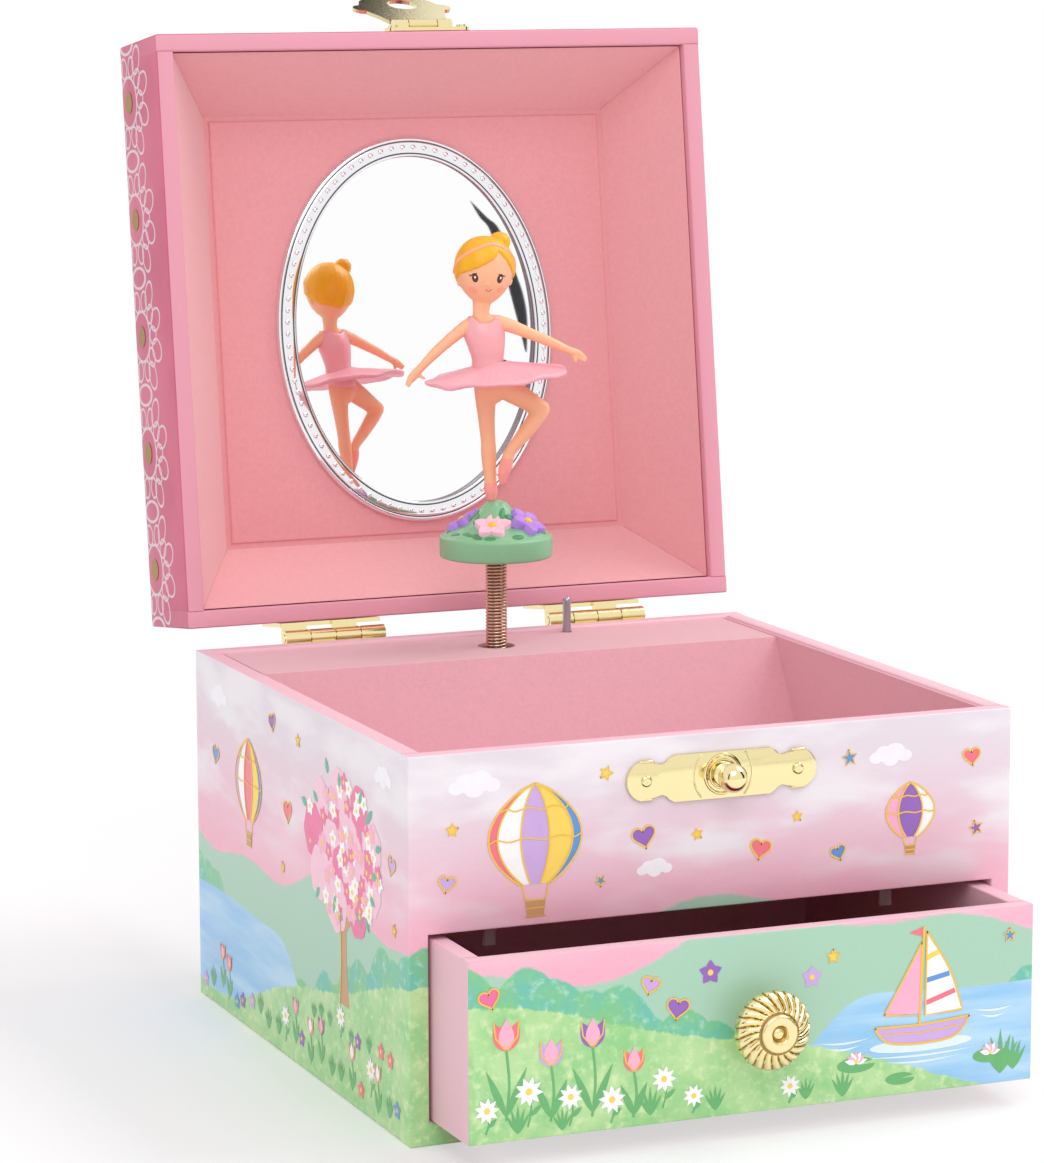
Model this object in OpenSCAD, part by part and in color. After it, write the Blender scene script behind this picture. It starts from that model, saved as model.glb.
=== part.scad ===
// Wind up music box: a square board box with a hinged lid and oval mirror, a sliding drawer,
// a jewellery tray, a spring-mounted ballerina on a flower base, and a comb movement wound from behind.
// Millimetres. +Z is up, the front faces -Y, and the origin is the centre of the base's underside.
// The lid is drawn open, the drawer part way out and the hasp folded back.

/* [Box] */
// width of the box
box_w = 114; // [112:1:116]
// depth of the box
box_d = 114; // [113:1:117]
// height of the base, without the lid
base_h = 67; // [66:0.5:69]
// thickness of the base's walls
wall_t = 3.6; // [3.2:0.1:4]
// thickness of the bottom board
floor_t = 4; // [3.4:0.2:4.4]
// how far the drawer opening stays inside the side walls
opening_inset = 0.1; // [0:0.05:0.4]
// height of the top of the drawer opening
opening_top = 36.4; // [35.6:0.2:37]

/* [Tray and rear shelf] */
// gap between the drawer opening's top and the tray board
tray_gap = 0.2; // [0:0.1:0.6]
// thickness of the tray board
tray_t = 2.4; // [2:0.2:3]
// thickness of the velour lining
lining_t = 0.6; // [0.4:0.1:0.8]
// thickness of the partition behind the drawer
partition_t = 2.4; // [2:0.2:3]
// thickness of the shelf and its sloped front
shelf_t = 2.2; // [1.8:0.2:2.6]
// depth of the rear shelf from the back wall
shelf_d = 23.4; // [22.6:0.2:24]
// how far the sloped front runs forward at its foot
slope_run = 14.6; // [13:0.2:16]
// how far the lined shelf lies below the rim
shelf_drop = 0.6; // [0.4:0.1:1.2]
// open slit between the shelf and the left wall's lining
shelf_slit = 0.6; // [0.4:0.1:1]
// how far the tray lining stops below the rim
lining_drop = 0.4; // [0.2:0.1:0.8]

/* [Drawer] */
// side clearance of the drawer in its opening
drawer_clear = 0.6; // [0.4:0.1:0.8]
// clearance under the drawer
drawer_lift = 0.3; // [0.2:0.1:0.5]
// clearance over the drawer
drawer_top_clear = 0.9; // [0.6:0.1:1.2]
// clearance behind the closed drawer
drawer_rear_clear = 1.2; // [0.8:0.2:2]
// thickness of the drawer's front
drawer_front_t = 3.4; // [3:0.2:4]
// thickness of the drawer's sides
drawer_side_t = 3.2; // [2.6:0.2:3.6]
// thickness of the drawer's back
drawer_back_t = 3; // [2.6:0.2:3.6]
// thickness of the drawer's bottom
drawer_floor_t = 2.2; // [1.8:0.2:2.6]
// thickness of the paper on the drawer's bottom
drawer_paper_t = 0.4; // [0.3:0.1:0.6]
// how far the drawer stands out
drawer_out = 16.3; // [0:0.5:30]
// diameter of the drawer knob
knob_d = 13.8; // [12.8:0.2:14.4]
// how far the knob stands out of the drawer's front
knob_reach = 8.6; // [8:0.2:9.4]
// number of flutes round the knob
knob_flutes = 20; // [16:1:22]
// diameter of the knob's screw
knob_screw_d = 2.4; // [2:0.1:2.8]
// distance of each drawer stop from the middle
drawer_stop_x = 38; // [30:1:44]
// distance of the drawer stops behind the front wall
drawer_stop_in = 7.1; // [5:0.1:12]
// length that the drawer stops hang below the tray board
drawer_stop_l = 5.8; // [4:0.2:7]

/* [Lid] */
// height of the lid
lid_h = 24; // [23.5:0.5:26]
// gap between the closed lid and the base
lid_gap = 0.6; // [0.4:0.1:0.8]
// thickness of the lid's walls
lid_wall_t = 3.5; // [3.2:0.1:3.9]
// thickness of the lid's top panel
lid_top_t = 3.5; // [3:0.1:3.7]
// angle that the lid is opened to
lid_open = 97.6; // [90:0.1:100]
// how far the sloped liner starts inside the rim
bevel_lip = 1; // [0.6:0.1:1.4]
// how far the sloped liner runs inward
bevel_run = 11; // [10:0.2:12]
// height of the sloped liner at the back panel, above the rim
bevel_rise = 18; // [17:0.2:18.4]
// thickness of the sloped liner
bevel_t = 1.2; // [0.8:0.1:1.6]
// thickness of the lid's inner back panel
back_panel_t = 1.6; // [1.2:0.1:2]

/* [Mirror] */
// sideways place of the mirror
mirror_x = -0.6; // [-2:0.2:2]
// how far the mirror's centre lies nearer to the hinges
mirror_shift = 0.8; // [-0.4:0.1:1.6]
// gap between the mirror's frame and the back panel's sides
mirror_side_gap = 13.1; // [12.5:0.1:14.5]
// mean gap between the mirror's frame and the back panel's ends
mirror_end_gap = 4.1; // [3.6:0.1:5.4]
// breadth of the frame's moulding
mirror_rim = 4.1; // [3.4:0.1:4.6]
// height of the frame's moulding
mirror_rim_h = 2; // [1.7:0.1:2.2]
// thickness of the mirror glass
glass_t = 1.2; // [1:0.1:1.4]

/* [Hinges] */
// distance of each hinge's centre from the middle
hinge_x = 27.6; // [26:0.2:30]
// length of each hinge
hinge_l = 20.6; // [19:0.2:22]
// how far the hinge axis stands behind the box
hinge_back = 3; // [2.8:0.1:3.4]
// outer diameter of the knuckles
knuckle_d = 3.2; // [3:0.1:3.5]
// diameter of the hinge pin
pin_d = 1.6; // [1.4:0.1:1.8]
// radial clearance of the turning knuckles on their pin
pin_clear = 0.05; // [0.03:0.01:0.08]
// end clearance between knuckles
knuckle_gap = 0.2; // [0.1:0.05:0.3]
// thickness of the hinge leaves
leaf_t = 0.8; // [0.6:0.1:1]
// height of a hinge leaf on its wall
leaf_h = 11; // [10:0.5:12]
// distance of a leaf's nails from its middle
leaf_nail_x = 6; // [5:0.5:7]
// diameter of the nails' shanks
nail_d = 1; // [0.8:0.1:1.2]
// diameter of the nails' heads
nail_head_d = 2; // [1.8:0.1:2.4]
// height of the nails' heads
nail_head_h = 0.5; // [0.4:0.1:0.6]
// length of the nails in the wood
nail_l = 2.4; // [2:0.2:2.8]

/* [Latch] */
// sideways place of the latch plate
latch_x = 0.5; // [-0.5:0.1:1.5]
// height of the latch plate's middle below the rim
latch_drop = 7.4; // [7:0.1:8]
// length of the latch plate over its round ends
latch_l = 35.8; // [34:0.2:37]
// height of the latch plate's middle part
latch_mid_h = 8.2; // [7.8:0.1:8.6]
// length of the latch plate's middle part
latch_mid_l = 18; // [17:0.2:19]
// diameter of the round ends
latch_end_d = 7.2; // [6.8:0.1:7.6]
// height of the waist between the middle and the ends
latch_waist_h = 6.2; // [5.8:0.1:6.6]
// thickness of the latch plate, hasp leaf and hasp tab
brass_t = 0.7; // [0.6:0.05:0.8]
// diameter of the stud's ball
stud_d = 5; // [4.6:0.1:5.2]
// diameter of the stud's neck
stud_neck_d = 3; // [2.6:0.1:3.4]
// diameter of the raised ring under the stud
stud_ring_d = 7; // [6.6:0.1:7.4]
// height of the raised ring
stud_ring_h = 0.35; // [0.3:0.05:0.4]
// distance of the ball's centre from the box
stud_reach = 4.6; // [4.4:0.1:5]
// sideways place of the hasp
hasp_x = -0.3; // [-0.6:0.1:0.4]
// distance of the hasp's axis from the lid's front
hasp_out = 1.65; // [1.6:0.05:1.8]
// height of the hasp's axis above the lid's rim
hasp_up = 5.6; // [5.4:0.1:5.8]
// length of the hasp tab
hasp_l = 18; // [17.8:0.2:19]
// greatest width of the hasp tab
hasp_w = 20.6; // [19:0.2:22]
// width of the hasp tab's free end
hasp_end_w = 13.8; // [12.8:0.2:14.8]
// width of the hasp tab at its knuckle
hasp_neck_w = 12.2; // [11.8:0.2:12.4]
// width of the hole in the tab
hasp_hole_w = 5.8; // [5.6:0.1:6.2]
// length of the hole in the tab
hasp_hole_l = 6.6; // [6.4:0.1:6.8]
// width of the fixed leaf
hasp_leaf_w = 16.6; // [16.4:0.2:17.4]
// distance of the fixed leaf's lower edge from the lid's rim
hasp_leaf_up = 1; // [0.8:0.1:1.2]
// diameter of the hasp's pin
hasp_pin_d = 1; // [0.9:0.05:1.1]
// diameter of the hasp's knuckles
hasp_knuckle_d = 2.1; // [2:0.05:2.2]
// angle that the tab is folded back by from its latched place
hasp_fold = 158; // [150:1:160]

/* [Ballerina] */
// sideways place of the ballerina
dancer_x = -0.9; // [-2:0.1:1]
// distance of the ballerina's axis from the back wall's inner face
dancer_in = 11.4; // [11.2:0.1:11.8]
// angle that the ballerina is turned by
dancer_turn = -14; // [-40:1:40]
// diameter of the flower base
disc_d = 21.7; // [20.7:0.1:22.3]
// height of the flower base's straight edge
disc_h = 3.3; // [2.8:0.1:3.5]
// height of the flower base to the foot
mound_h = 10.9; // [10.6:0.1:11.2]
// outer diameter of the spring
spring_d = 4.2; // [4:0.1:4.3]
// thickness of the spring's wire
wire_d = 0.56; // [0.5:0.02:0.6]
// number of turns of the spring
spring_turns = 29; // [24:1:31]
// length of the spring
spring_l = 19.1; // [18.6:0.1:19.6]
// height of the ballerina from the toe to the bun
figure_h = 51.4; // [50:0.2:53]
// diameter of the tutu
tutu_d = 27.8; // [26.8:0.2:29.4]
// angle that the tutu leans by
tutu_tilt = 5.4; // [0:0.2:7]
// radius of the head
head_r = 5.45; // [5.2:0.05:5.6]
// thickness of the hair over the head
hair_t = 0.45; // [0.4:0.05:0.6]

/* [Movement] */
// thickness of the movement's bedplate
bed_t = 1.6; // [1.4:0.1:1.8]
// radius of the pinned cylinder
cyl_r = 6.5; // [6.3:0.05:6.6]
// length of the pinned cylinder
cyl_l = 18; // [17.4:0.1:18.2]
// number of comb teeth
comb_n = 18; // [16:1:18]
// height of the cylinder's pins
cyl_pin_h = 0.3; // [0.2:0.05:0.35]
// gap between the cylinder and the comb's tips
comb_gap = 0.55; // [0.5:0.05:0.7]
// length of the comb's teeth
comb_tooth_l = 13.5; // [12:0.5:14]
// thickness of the comb
comb_t = 1; // [0.8:0.1:1.2]
// width of the slits between the comb's teeth
comb_slit = 0.25; // [0.2:0.05:0.3]
// radius of the spindle that carries the cylinder
arbor_r = 1; // [0.9:0.05:1.1]
// radial clearance of the turning spindles
run_clear = 0.05; // [0.03:0.01:0.08]
// height of the winding axis
barrel_z = 17.5; // [17.2:0.1:18]
// outer radius of the mainspring barrel
barrel_r = 11.5; // [11.4:0.05:11.6]
// depth of the mainspring barrel
barrel_d = 4.2; // [4:0.1:4.4]
// thickness of the barrel's wall and web
barrel_t = 0.8; // [0.7:0.05:0.9]
// pitch radius of the barrel's crown teeth
crown_r = 10.3; // [10.3:0.1:10.3]
// number of the barrel's crown teeth
crown_n = 28; // [28:1:28]
// number of teeth of the pinion on the crown
pinion_n = 8; // [8:1:8]
// number of turns of the mainspring
mainspring_turns = 6; // [5:1:7]
// thickness of the mainspring's strip
mainspring_t = 0.3; // [0.2:0.05:0.35]
// radius of the winding arbor
wind_r = 1.6; // [1.5:0.05:1.7]
// number of ratchet teeth on the winding arbor
ratchet_n = 12; // [12:12:12]
// module of the spur gears
gear_m = 0.55; // [0.55:0.05:0.55]
// number of teeth of the gear on the cylinder
cyl_gear_n = 30; // [30:1:30]
// number of teeth of the idler's pinion
idler_pinion_n = 10; // [10:1:10]
// number of teeth of the worm wheel
worm_wheel_n = 18; // [18:1:18]
// pitch radius of the worm wheel
worm_wheel_r = 6; // [6:0.1:6]
// pitch radius of the worm
worm_r = 1.7; // [1.7:0.1:1.7]
// half height of the worm's thread
worm_e = 0.5; // [0.45:0.05:0.5]
// radius of the governor's fan
fan_r = 4; // [3.7:0.1:4.1]
// width of the winding key over its wings
key_w = 23.4; // [22:0.2:25]
// distance of the key's wings from the box
key_reach = 7; // [6:0.5:9]
// how far the stop plunger stands above the shelf
stop_up = 7; // [6.6:0.1:7.4]
// radius of the stop plunger
stop_r = 0.8; // [0.7:0.05:0.9]
// radial clearance of the stop plunger
stop_clear = 0.08; // [0.05:0.01:0.1]

/* [Hidden] */
$fn = 48;
eps = 0.01;
bx = box_w / 2;
by = box_d / 2;
ix = bx - wall_t;
iy = by - wall_t;
open_hw = ix - opening_inset;
tray_z0 = opening_top + tray_gap;
tray_z1 = tray_z0 + tray_t;
shelf_top = base_h - shelf_drop;
board_top = shelf_top - lining_t;
board_low = board_top - shelf_t;
shelf_y = iy - shelf_d;
slope_k = slope_run / (board_top - tray_z1);
slope_foot = shelf_y - slope_run;
slope_tk = shelf_t * 0.75 * sqrt(1 + slope_k * slope_k);
slope_lk = lining_t * sqrt(1 + slope_k * slope_k);
shelf_x0 = -ix + lining_t + shelf_slit;
shelf_x1 = ix - lining_t;
partition_y = shelf_y - 0.2;
lining_top = base_h - lining_drop;
// drawer
drawer_hw = open_hw - drawer_clear;
drawer_z0 = floor_t + drawer_lift;
drawer_h = opening_top - drawer_top_clear - drawer_z0;
drawer_y0 = -by - drawer_out;
drawer_len = partition_y + by - drawer_rear_clear;
drawer_y1 = drawer_y0 + drawer_len;
drawer_z1 = drawer_z0 + drawer_h;
knob_z = drawer_z0 + drawer_h / 2;
knob_r = knob_d / 2;
drawer_stop_w = 2;
drawer_stop_t = 1;
// lid, in its closed place
rim_z = base_h + lid_gap;
lid_top = rim_z + lid_h;
lid_ceil = lid_top - lid_top_t;
lix = bx - lid_wall_t;
liy = by - lid_wall_t;
panel_z = rim_z + bevel_rise;
panel_hx = lix - bevel_run;
panel_hy = liy - bevel_run;
bevel_k = (bevel_rise - bevel_lip) / bevel_run;
bevel_v = bevel_t * sqrt(1 + bevel_k * bevel_k);
bevel_cut = bevel_v / bevel_k;
mirror_y = mirror_shift;
mirror_w = 2 * (panel_hx - mirror_side_gap);
mirror_l = 2 * (panel_hy - mirror_end_gap);
hinge_y = by + hinge_back;
hinge_z = base_h + lid_gap / 2;
knuckle_r = knuckle_d / 2;
knuckle_n = 4;
knuckle_w = hinge_l / knuckle_n;
hasp_y = -by - hasp_out;
hasp_z = rim_z + hasp_up;
latch_z = base_h - latch_drop;
stud_z = latch_z + 0.2;
hole_t = hasp_z - stud_z;
latch_nail_x = latch_l / 2 - latch_end_d / 2;
hasp_leaf_z0 = rim_z + hasp_leaf_up;
hasp_leaf_z1 = hasp_z - hasp_knuckle_d / 2 - 0.25;
hasp_nail_x = hasp_leaf_w / 2 - 1.15;
hasp_nail_z = (hasp_leaf_z0 + hasp_leaf_z1) / 2;
hasp_kw = 3;
leaf_nail_low = hinge_z - knuckle_r - leaf_h * 0.55;
leaf_nail_high = hinge_z + knuckle_r + leaf_h * 0.55;
// ballerina
dancer_y = iy - dancer_in;
socket_z = board_low + 1;
disc_z = socket_z + spring_l;
spring_r = (spring_d - wire_d) / 2;
socket_r = spring_r - wire_d / 2 - 0.15;
shelf_hole_r = spring_d / 2 + 1.5;
// The figure's own lengths are those of one 51.4 mm tall, and the flowers' those of a 21.7 mm disc.
fig_k = figure_h / 51.4;
head_c = [-2, 0, 43.7] * fig_k;
flower_k = disc_d / 21.7;
part_gap = 0.05;
spring_end_gap = 0.1;
// movement
bed_y = iy - bed_t;
pinion_r = crown_r * pinion_n / crown_n;
mesh_y = dancer_y + pinion_r;
crown_root_y = mesh_y + 0.75;
crown_tip_y = mesh_y - 0.5;
barrel_y1 = crown_root_y + barrel_d;
pinion_z0 = barrel_z + crown_r - 1.6;
pinion_l = 3;
lug_z0 = pinion_z0 + pinion_l + 0.4;
lug_t = 1.4;
cyl_z0 = lug_z0 + lug_t + 0.6;
cyl_z1 = cyl_z0 + cyl_l;
gear_z0 = cyl_z1 + 0.4;
gear_t = 1.4;
cyl_gear_r = gear_m * cyl_gear_n / 2;
idler_r = gear_m * idler_pinion_n / 2;
idler_x = dancer_x + cyl_gear_r + idler_r;
wheel_z = gear_z0 + gear_t + 2.4;
wheel_t = 1.2;
top_lug_z0 = gear_z0 + gear_t + 1.1;
worm_x = idler_x + worm_wheel_r + worm_r;
worm_p = 2 * PI * worm_wheel_r / worm_wheel_n;
worm_lead = atan(worm_p / (2 * PI * worm_r));
worm_l = 7;
worm_turns = worm_l / worm_p;
pivot_r = 0.5;
idler_arbor_r = 0.7;
idler_low = cyl_z1 - 2.2;
idler_high = wheel_z + 2.6;
idler_lug_t = 1;
fan_w = 2.3;
fan_y1 = bed_y - 0.6;
bracket_y = dancer_y - 7.4;
bracket_x = worm_x + fan_r + 0.4;
bed_x0 = dancer_x - 29;
bed_x1 = bracket_x + 2.6;
bed_z0 = floor_t + 1.6;
bed_z1 = idler_high + 0.4;
comb_x1 = dancer_x - cyl_r - comb_gap;
comb_x0 = comb_x1 - comb_tooth_l;
comb_back = 7.6;
comb_pitch = cyl_l / comb_n;
comb_screw_x = comb_x0 - comb_back / 2;
comb_screw_dz = 4.6;
screw_r = 1;
screw_clear = 0.1;
screw_head_r = 1.8;
screw_head_h = 1.1;
bed_screw_dx = 17;
bed_screw_z0 = bed_z0 + 3;
bed_screw_z1 = bed_z1 - 13;
ratchet_y0 = barrel_y1 + 0.4;
ratchet_y1 = ratchet_y0 + 1;
ratchet_tip = 5;
ratchet_root = 4.2;
hub_r = 2.2;
mainspring_r0 = hub_r + 0.4;
mainspring_r1 = barrel_r - barrel_t - 0.3;
key_hole_r = 4.2;
key_y = by + key_reach;
key_wing_r = key_w * 0.222;
key_wing_t = key_w * 0.077;
key_hub_r = key_w * 0.132;
key_hub_y = by + key_reach * 0.17;
stop_x = worm_x;
stop_y = iy - 2;
stop_pad_z = wheel_z + fan_r + 2.9;
stop_z1 = shelf_top + stop_up;

// Box board drawn between two corners.
module slab(x0, x1, y0, y1, z0, z1) {
  translate([x0, y0, z0]) cube([x1 - x0, y1 - y0, z1 - z0]);
}

// Round bar along X, Y or Z.
module bar_x(r, x0, x1, y, z) {
  translate([x0, y, z]) rotate([0, 90, 0]) cylinder(r = r, h = x1 - x0);
}
module bar_y(r, x, y0, y1, z) {
  translate([x, y1, z]) rotate([90, 0, 0]) cylinder(r = r, h = y1 - y0);
}
module bar_z(r, x, y, z0, z1) {
  translate([x, y, z0]) cylinder(r = r, h = z1 - z0);
}

// Profile in the Y-Z plane, extruded along X.
module along_x(x0, x1, pts) {
  translate([x0, 0, 0]) rotate([90, 0, 90]) linear_extrude(x1 - x0) polygon(pts);
}

// Moves what belongs to the lid from its closed place to its open place.
module at_lid() {
  translate([0, hinge_y, hinge_z]) rotate([-lid_open, 0, 0])
    translate([0, -hinge_y, -hinge_z]) children();
}

// Oval as a smooth many-sided outline.
function oval(a, b, n = 96) = [for (i = [0:n - 1]) [a * cos(i * 360 / n), b * sin(i * 360 / n)]];

// Gear outline: n straight-sided teeth between a root and a tip radius.
function tooth(a, r0, r1, r2, w0, w1, w2) = [
  for (p = [[r0, -w0], [r1, -w1], [r2, -w2], [r2, w2], [r1, w1], [r0, w0]])
    [p[0] * cos(a) - p[1] * sin(a), p[0] * sin(a) + p[1] * cos(a)]];
module gear_2d(n, r0, r1, r2, w0, w1, w2, turn = 0) {
  polygon([for (i = [0:n - 1]) each tooth(turn + i * 360 / n, r0, r1, r2, w0, w1, w2)]);
}

// Nail along Y, with its head's face away from the wood. side is the way the head points.
module nail(x, y, z, side) {
  a = y + side * brass_t;
  if (side < 0) {
    bar_y(nail_d / 2, x, a, y + nail_l, z);
    bar_y(nail_head_d / 2, x, a - nail_head_h, a, z);
  } else {
    bar_y(nail_d / 2, x, y - nail_l, y + leaf_t, z);
    bar_y(nail_head_d / 2, x, y + leaf_t, y + leaf_t + nail_head_h, z);
  }
}

// ---------- base ----------
module base_floor() {
  color([0.86, 0.62, 0.66]) slab(-ix, ix, -iy, iy, 0, floor_t);
}

module front_wall() {
  color([0.93, 0.78, 0.84]) difference() {
    slab(-bx, bx, -by, -iy, 0, base_h);
    slab(-open_hw, open_hw, -by - 1, -iy + 1, floor_t, opening_top);
    for (s = [-1, 1]) bar_y(nail_d / 2, latch_x + s * latch_nail_x, -by - 1, -by + nail_l, latch_z);
    bar_y(nail_d / 2, latch_x, -by - 1, -by + nail_l, stud_z);
  }
}

module left_wall() {
  color([0.93, 0.8, 0.86]) slab(-bx, -ix, -iy, iy, 0, base_h);
}

module right_wall() {
  color([0.93, 0.8, 0.86]) slab(ix, bx, -iy, iy, 0, base_h);
}

module back_wall() {
  color([0.93, 0.78, 0.84]) difference() {
    slab(-bx, bx, iy, by, 0, base_h);
    bar_y(key_hole_r, dancer_x, iy - 1, by + 1, barrel_z);
    bed_screws() bar_y(screw_r + screw_clear, 0, iy - 1, by + 1, 0);
    for (s = [-1, 1], t = [-1, 1])
      bar_y(nail_d / 2, s * hinge_x + t * leaf_nail_x, by - nail_l, by + 1, leaf_nail_low);
  }
}

module tray_floor() {
  color([0.9, 0.6, 0.64]) slab(-ix, ix, -iy, partition_y + partition_t, tray_z0, tray_z1);
}

module rear_partition() {
  color([0.8, 0.66, 0.56]) slab(-ix, ix, partition_y, partition_y + partition_t, floor_t, tray_z0);
}

// Clear plastic tabs that hang from the tray board and hold back the drawer's back.
module drawer_stops() {
  y = drawer_stop_in - iy;
  color([0.9, 0.9, 0.88])
    for (s = [-1, 1]) translate([s * drawer_stop_x, 0, 0])
      slab(-drawer_stop_w / 2, drawer_stop_w / 2, y, y + drawer_stop_t, tray_z0 - drawer_stop_l, tray_z0);
}

// Shelf over the movement, with its sloped front, in one folded board.
module rear_shelf() {
  low_y = slope_foot + slope_k * (board_low - tray_z1);
  color([0.92, 0.64, 0.68]) difference() {
    along_x(shelf_x0, shelf_x1, [[slope_foot, tray_z1], [shelf_y, board_top], [iy, board_top],
      [iy, board_low], [low_y + slope_tk, board_low], [slope_foot + slope_tk, tray_z1]]);
    bar_z(shelf_hole_r, dancer_x, dancer_y, board_low - 1, board_top + 1);
    bar_z(stop_r + stop_clear, stop_x, stop_y, board_low - 1, board_top + 1);
  }
}

module tray_lining() {
  t = lining_t;
  foot_y = slope_foot - slope_lk + slope_k * t;
  top_y = shelf_y - slope_lk + slope_k * t;
  color([0.91, 0.6, 0.62]) difference() {
    slab(-ix, ix, -iy, iy, tray_z1, lining_top);
    along_x(t - ix, ix - t, [[t - iy, tray_z1 + t], [foot_y, tray_z1 + t], [top_y, shelf_top],
      [by, shelf_top], [by, base_h], [t - iy, base_h]]);
    along_x(-bx, bx, [[slope_foot, tray_z0], [slope_foot, tray_z1], [shelf_y, board_top],
      [by, board_top], [by, tray_z0]]);
    along_x(t - ix, shelf_x0, [[slope_foot, tray_z0], [slope_foot, tray_z1 + t], [foot_y - t, tray_z1 + t],
      [top_y - t, base_h], [by, base_h], [by, tray_z0]]);
    bar_z(shelf_hole_r, dancer_x, dancer_y, board_low, base_h);
    bar_z(stop_r + 4 * stop_clear, stop_x, stop_y, board_low, base_h);
  }
}

// ---------- latch and hinges ----------
module latch_plate() {
  color([0.9, 0.76, 0.42]) difference() {
    union() {
      translate([latch_x, -by, latch_z]) rotate([90, 0, 0]) linear_extrude(brass_t) difference() {
        union() {
          square([latch_mid_l, latch_mid_h], center = true);
          square([latch_nail_x * 2, latch_waist_h], center = true);
          for (s = [-1, 1]) translate([s * latch_nail_x, 0]) circle(d = latch_end_d);
        }
        for (s = [-1, 1], t = [-1, 1])
          translate([s * (latch_mid_l / 2 + 1.5), t * (latch_waist_h / 2 + 0.4)]) circle(r = 0.9);
        for (s = [-1, 1]) translate([s * latch_nail_x, 0]) circle(d = nail_d);
        translate([0, stud_z - latch_z]) circle(d = nail_d);
      }
      translate([latch_x, -by - brass_t, stud_z]) rotate([90, 0, 0]) difference() {
        cylinder(d = stud_ring_d, h = stud_ring_h);
        translate([0, 0, -1]) cylinder(d = stud_neck_d + 0.4, h = stud_ring_h + 2);
      }
    }
  }
}

module latch_stud() {
  color([0.93, 0.8, 0.5]) {
    bar_y(nail_d / 2, latch_x, -by - brass_t, -by + nail_l, stud_z);
    bar_y(stud_neck_d / 2, latch_x, -by - stud_reach, -by - brass_t, stud_z);
    translate([latch_x, -by - stud_reach, stud_z]) sphere(d = stud_d);
  }
}

module base_nails() {
  color([0.85, 0.7, 0.38]) {
    for (s = [-1, 1]) nail(latch_x + s * latch_nail_x, -by, latch_z, -1);
    for (s = [-1, 1], t = [-1, 1]) nail(s * hinge_x + t * leaf_nail_x, by, leaf_nail_low, 1);
  }
}

// One leaf of a hinge at the middle, up = 1 for the lid's leaf. Its knuckles are the even or odd ones.
module hinge_leaf(up, first, bore) {
  face = hinge_z + up * knuckle_r;
  z0 = min(face, face + up * leaf_h);
  strap = hinge_z + up * (knuckle_r - leaf_t);
  difference() {
    union() {
      slab(-hinge_l / 2, hinge_l / 2, by, by + leaf_t, z0, z0 + leaf_h);
      for (k = [first:2:knuckle_n - 1]) {
        x0 = -hinge_l / 2 + k * knuckle_w + knuckle_gap / 2;
        x1 = x0 + knuckle_w - knuckle_gap;
        bar_x(knuckle_r, x0, x1, hinge_y, hinge_z);
        slab(x0, x1, by, hinge_y, min(strap, face), max(strap, face));
      }
    }
    bar_x(bore, -hinge_l, hinge_l, hinge_y, hinge_z);
    for (t = [-1, 1])
      bar_y(nail_d / 2, t * leaf_nail_x, by - 1, by + leaf_t + 1, up > 0 ? leaf_nail_high : leaf_nail_low);
  }
}

module hinge_base_leaves() {
  color([0.86, 0.72, 0.42])
    for (s = [-1, 1]) translate([s * hinge_x, 0, 0]) hinge_leaf(-1, 1, pin_d / 2);
}

module hinge_pins() {
  color([0.8, 0.66, 0.38])
    for (s = [-1, 1])
      bar_x(pin_d / 2, s * hinge_x - hinge_l / 2, s * hinge_x + hinge_l / 2, hinge_y, hinge_z);
}

// ---------- drawer ----------
module drawer_front() {
  color([0.8, 0.88, 0.84]) difference() {
    slab(-drawer_hw, drawer_hw, drawer_y0, drawer_y0 + drawer_front_t, drawer_z0, drawer_z1);
    bar_y(knob_screw_d / 2, 0, drawer_y0 - 1, drawer_y0 + drawer_front_t + 1, knob_z);
  }
}

module drawer_side(s) {
  translate([s * (drawer_hw - drawer_side_t / 2), 0, 0])
    slab(-drawer_side_t / 2, drawer_side_t / 2, drawer_y0 + drawer_front_t,
      drawer_y1 - drawer_back_t, drawer_z0, drawer_z1);
}

module drawer_left_side() {
  color([0.95, 0.74, 0.78]) drawer_side(-1);
}

module drawer_right_side() {
  color([0.95, 0.74, 0.78]) drawer_side(1);
}

module drawer_back() {
  color([0.93, 0.72, 0.76])
    slab(-drawer_hw, drawer_hw, drawer_y1 - drawer_back_t, drawer_y1, drawer_z0, drawer_z1);
}

module drawer_floor() {
  hw = drawer_hw - drawer_side_t;
  color([0.9, 0.68, 0.72]) slab(-hw, hw, drawer_y0 + drawer_front_t, drawer_y1 - drawer_back_t,
    drawer_z0, drawer_z0 + drawer_floor_t);
}

module drawer_lining() {
  hw = drawer_hw - drawer_side_t;
  z = drawer_z0 + drawer_floor_t;
  color([0.42, 0.16, 0.18])
    slab(-hw, hw, drawer_y0 + drawer_front_t, drawer_y1 - drawer_back_t, z, z + drawer_paper_t);
}

// Turned knob with a fluted rim, a raised ring and a dimple.
module drawer_knob() {
  h = knob_reach;
  r = knob_r;
  color([0.9, 0.76, 0.44]) translate([0, drawer_y0, knob_z]) rotate([90, 0, 0]) difference() {
    rotate_extrude() polygon([[0, 0], [3.2, 0], [3.2, 1], [2.4, 1.6], [2.4, 3], [r - 1, 3.6], [r, 4.4],
      [r, 5.6], [r - 0.5, 6.6], [r * 0.52, 7.9], [r * 0.46, h - 0.3], [r * 0.4, h], [r * 0.24, h],
      [r * 0.2, h - 0.5], [0, h - 0.4]]);
    translate([0, 0, -1]) cylinder(d = knob_screw_d, h = 6);
    for (i = [0:knob_flutes - 1]) rotate([0, 0, i * 360 / knob_flutes])
      translate([r + 0.35, 0, 3]) cylinder(r = 0.75, h = 4.4, $fn = 16);
  }
}

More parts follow.
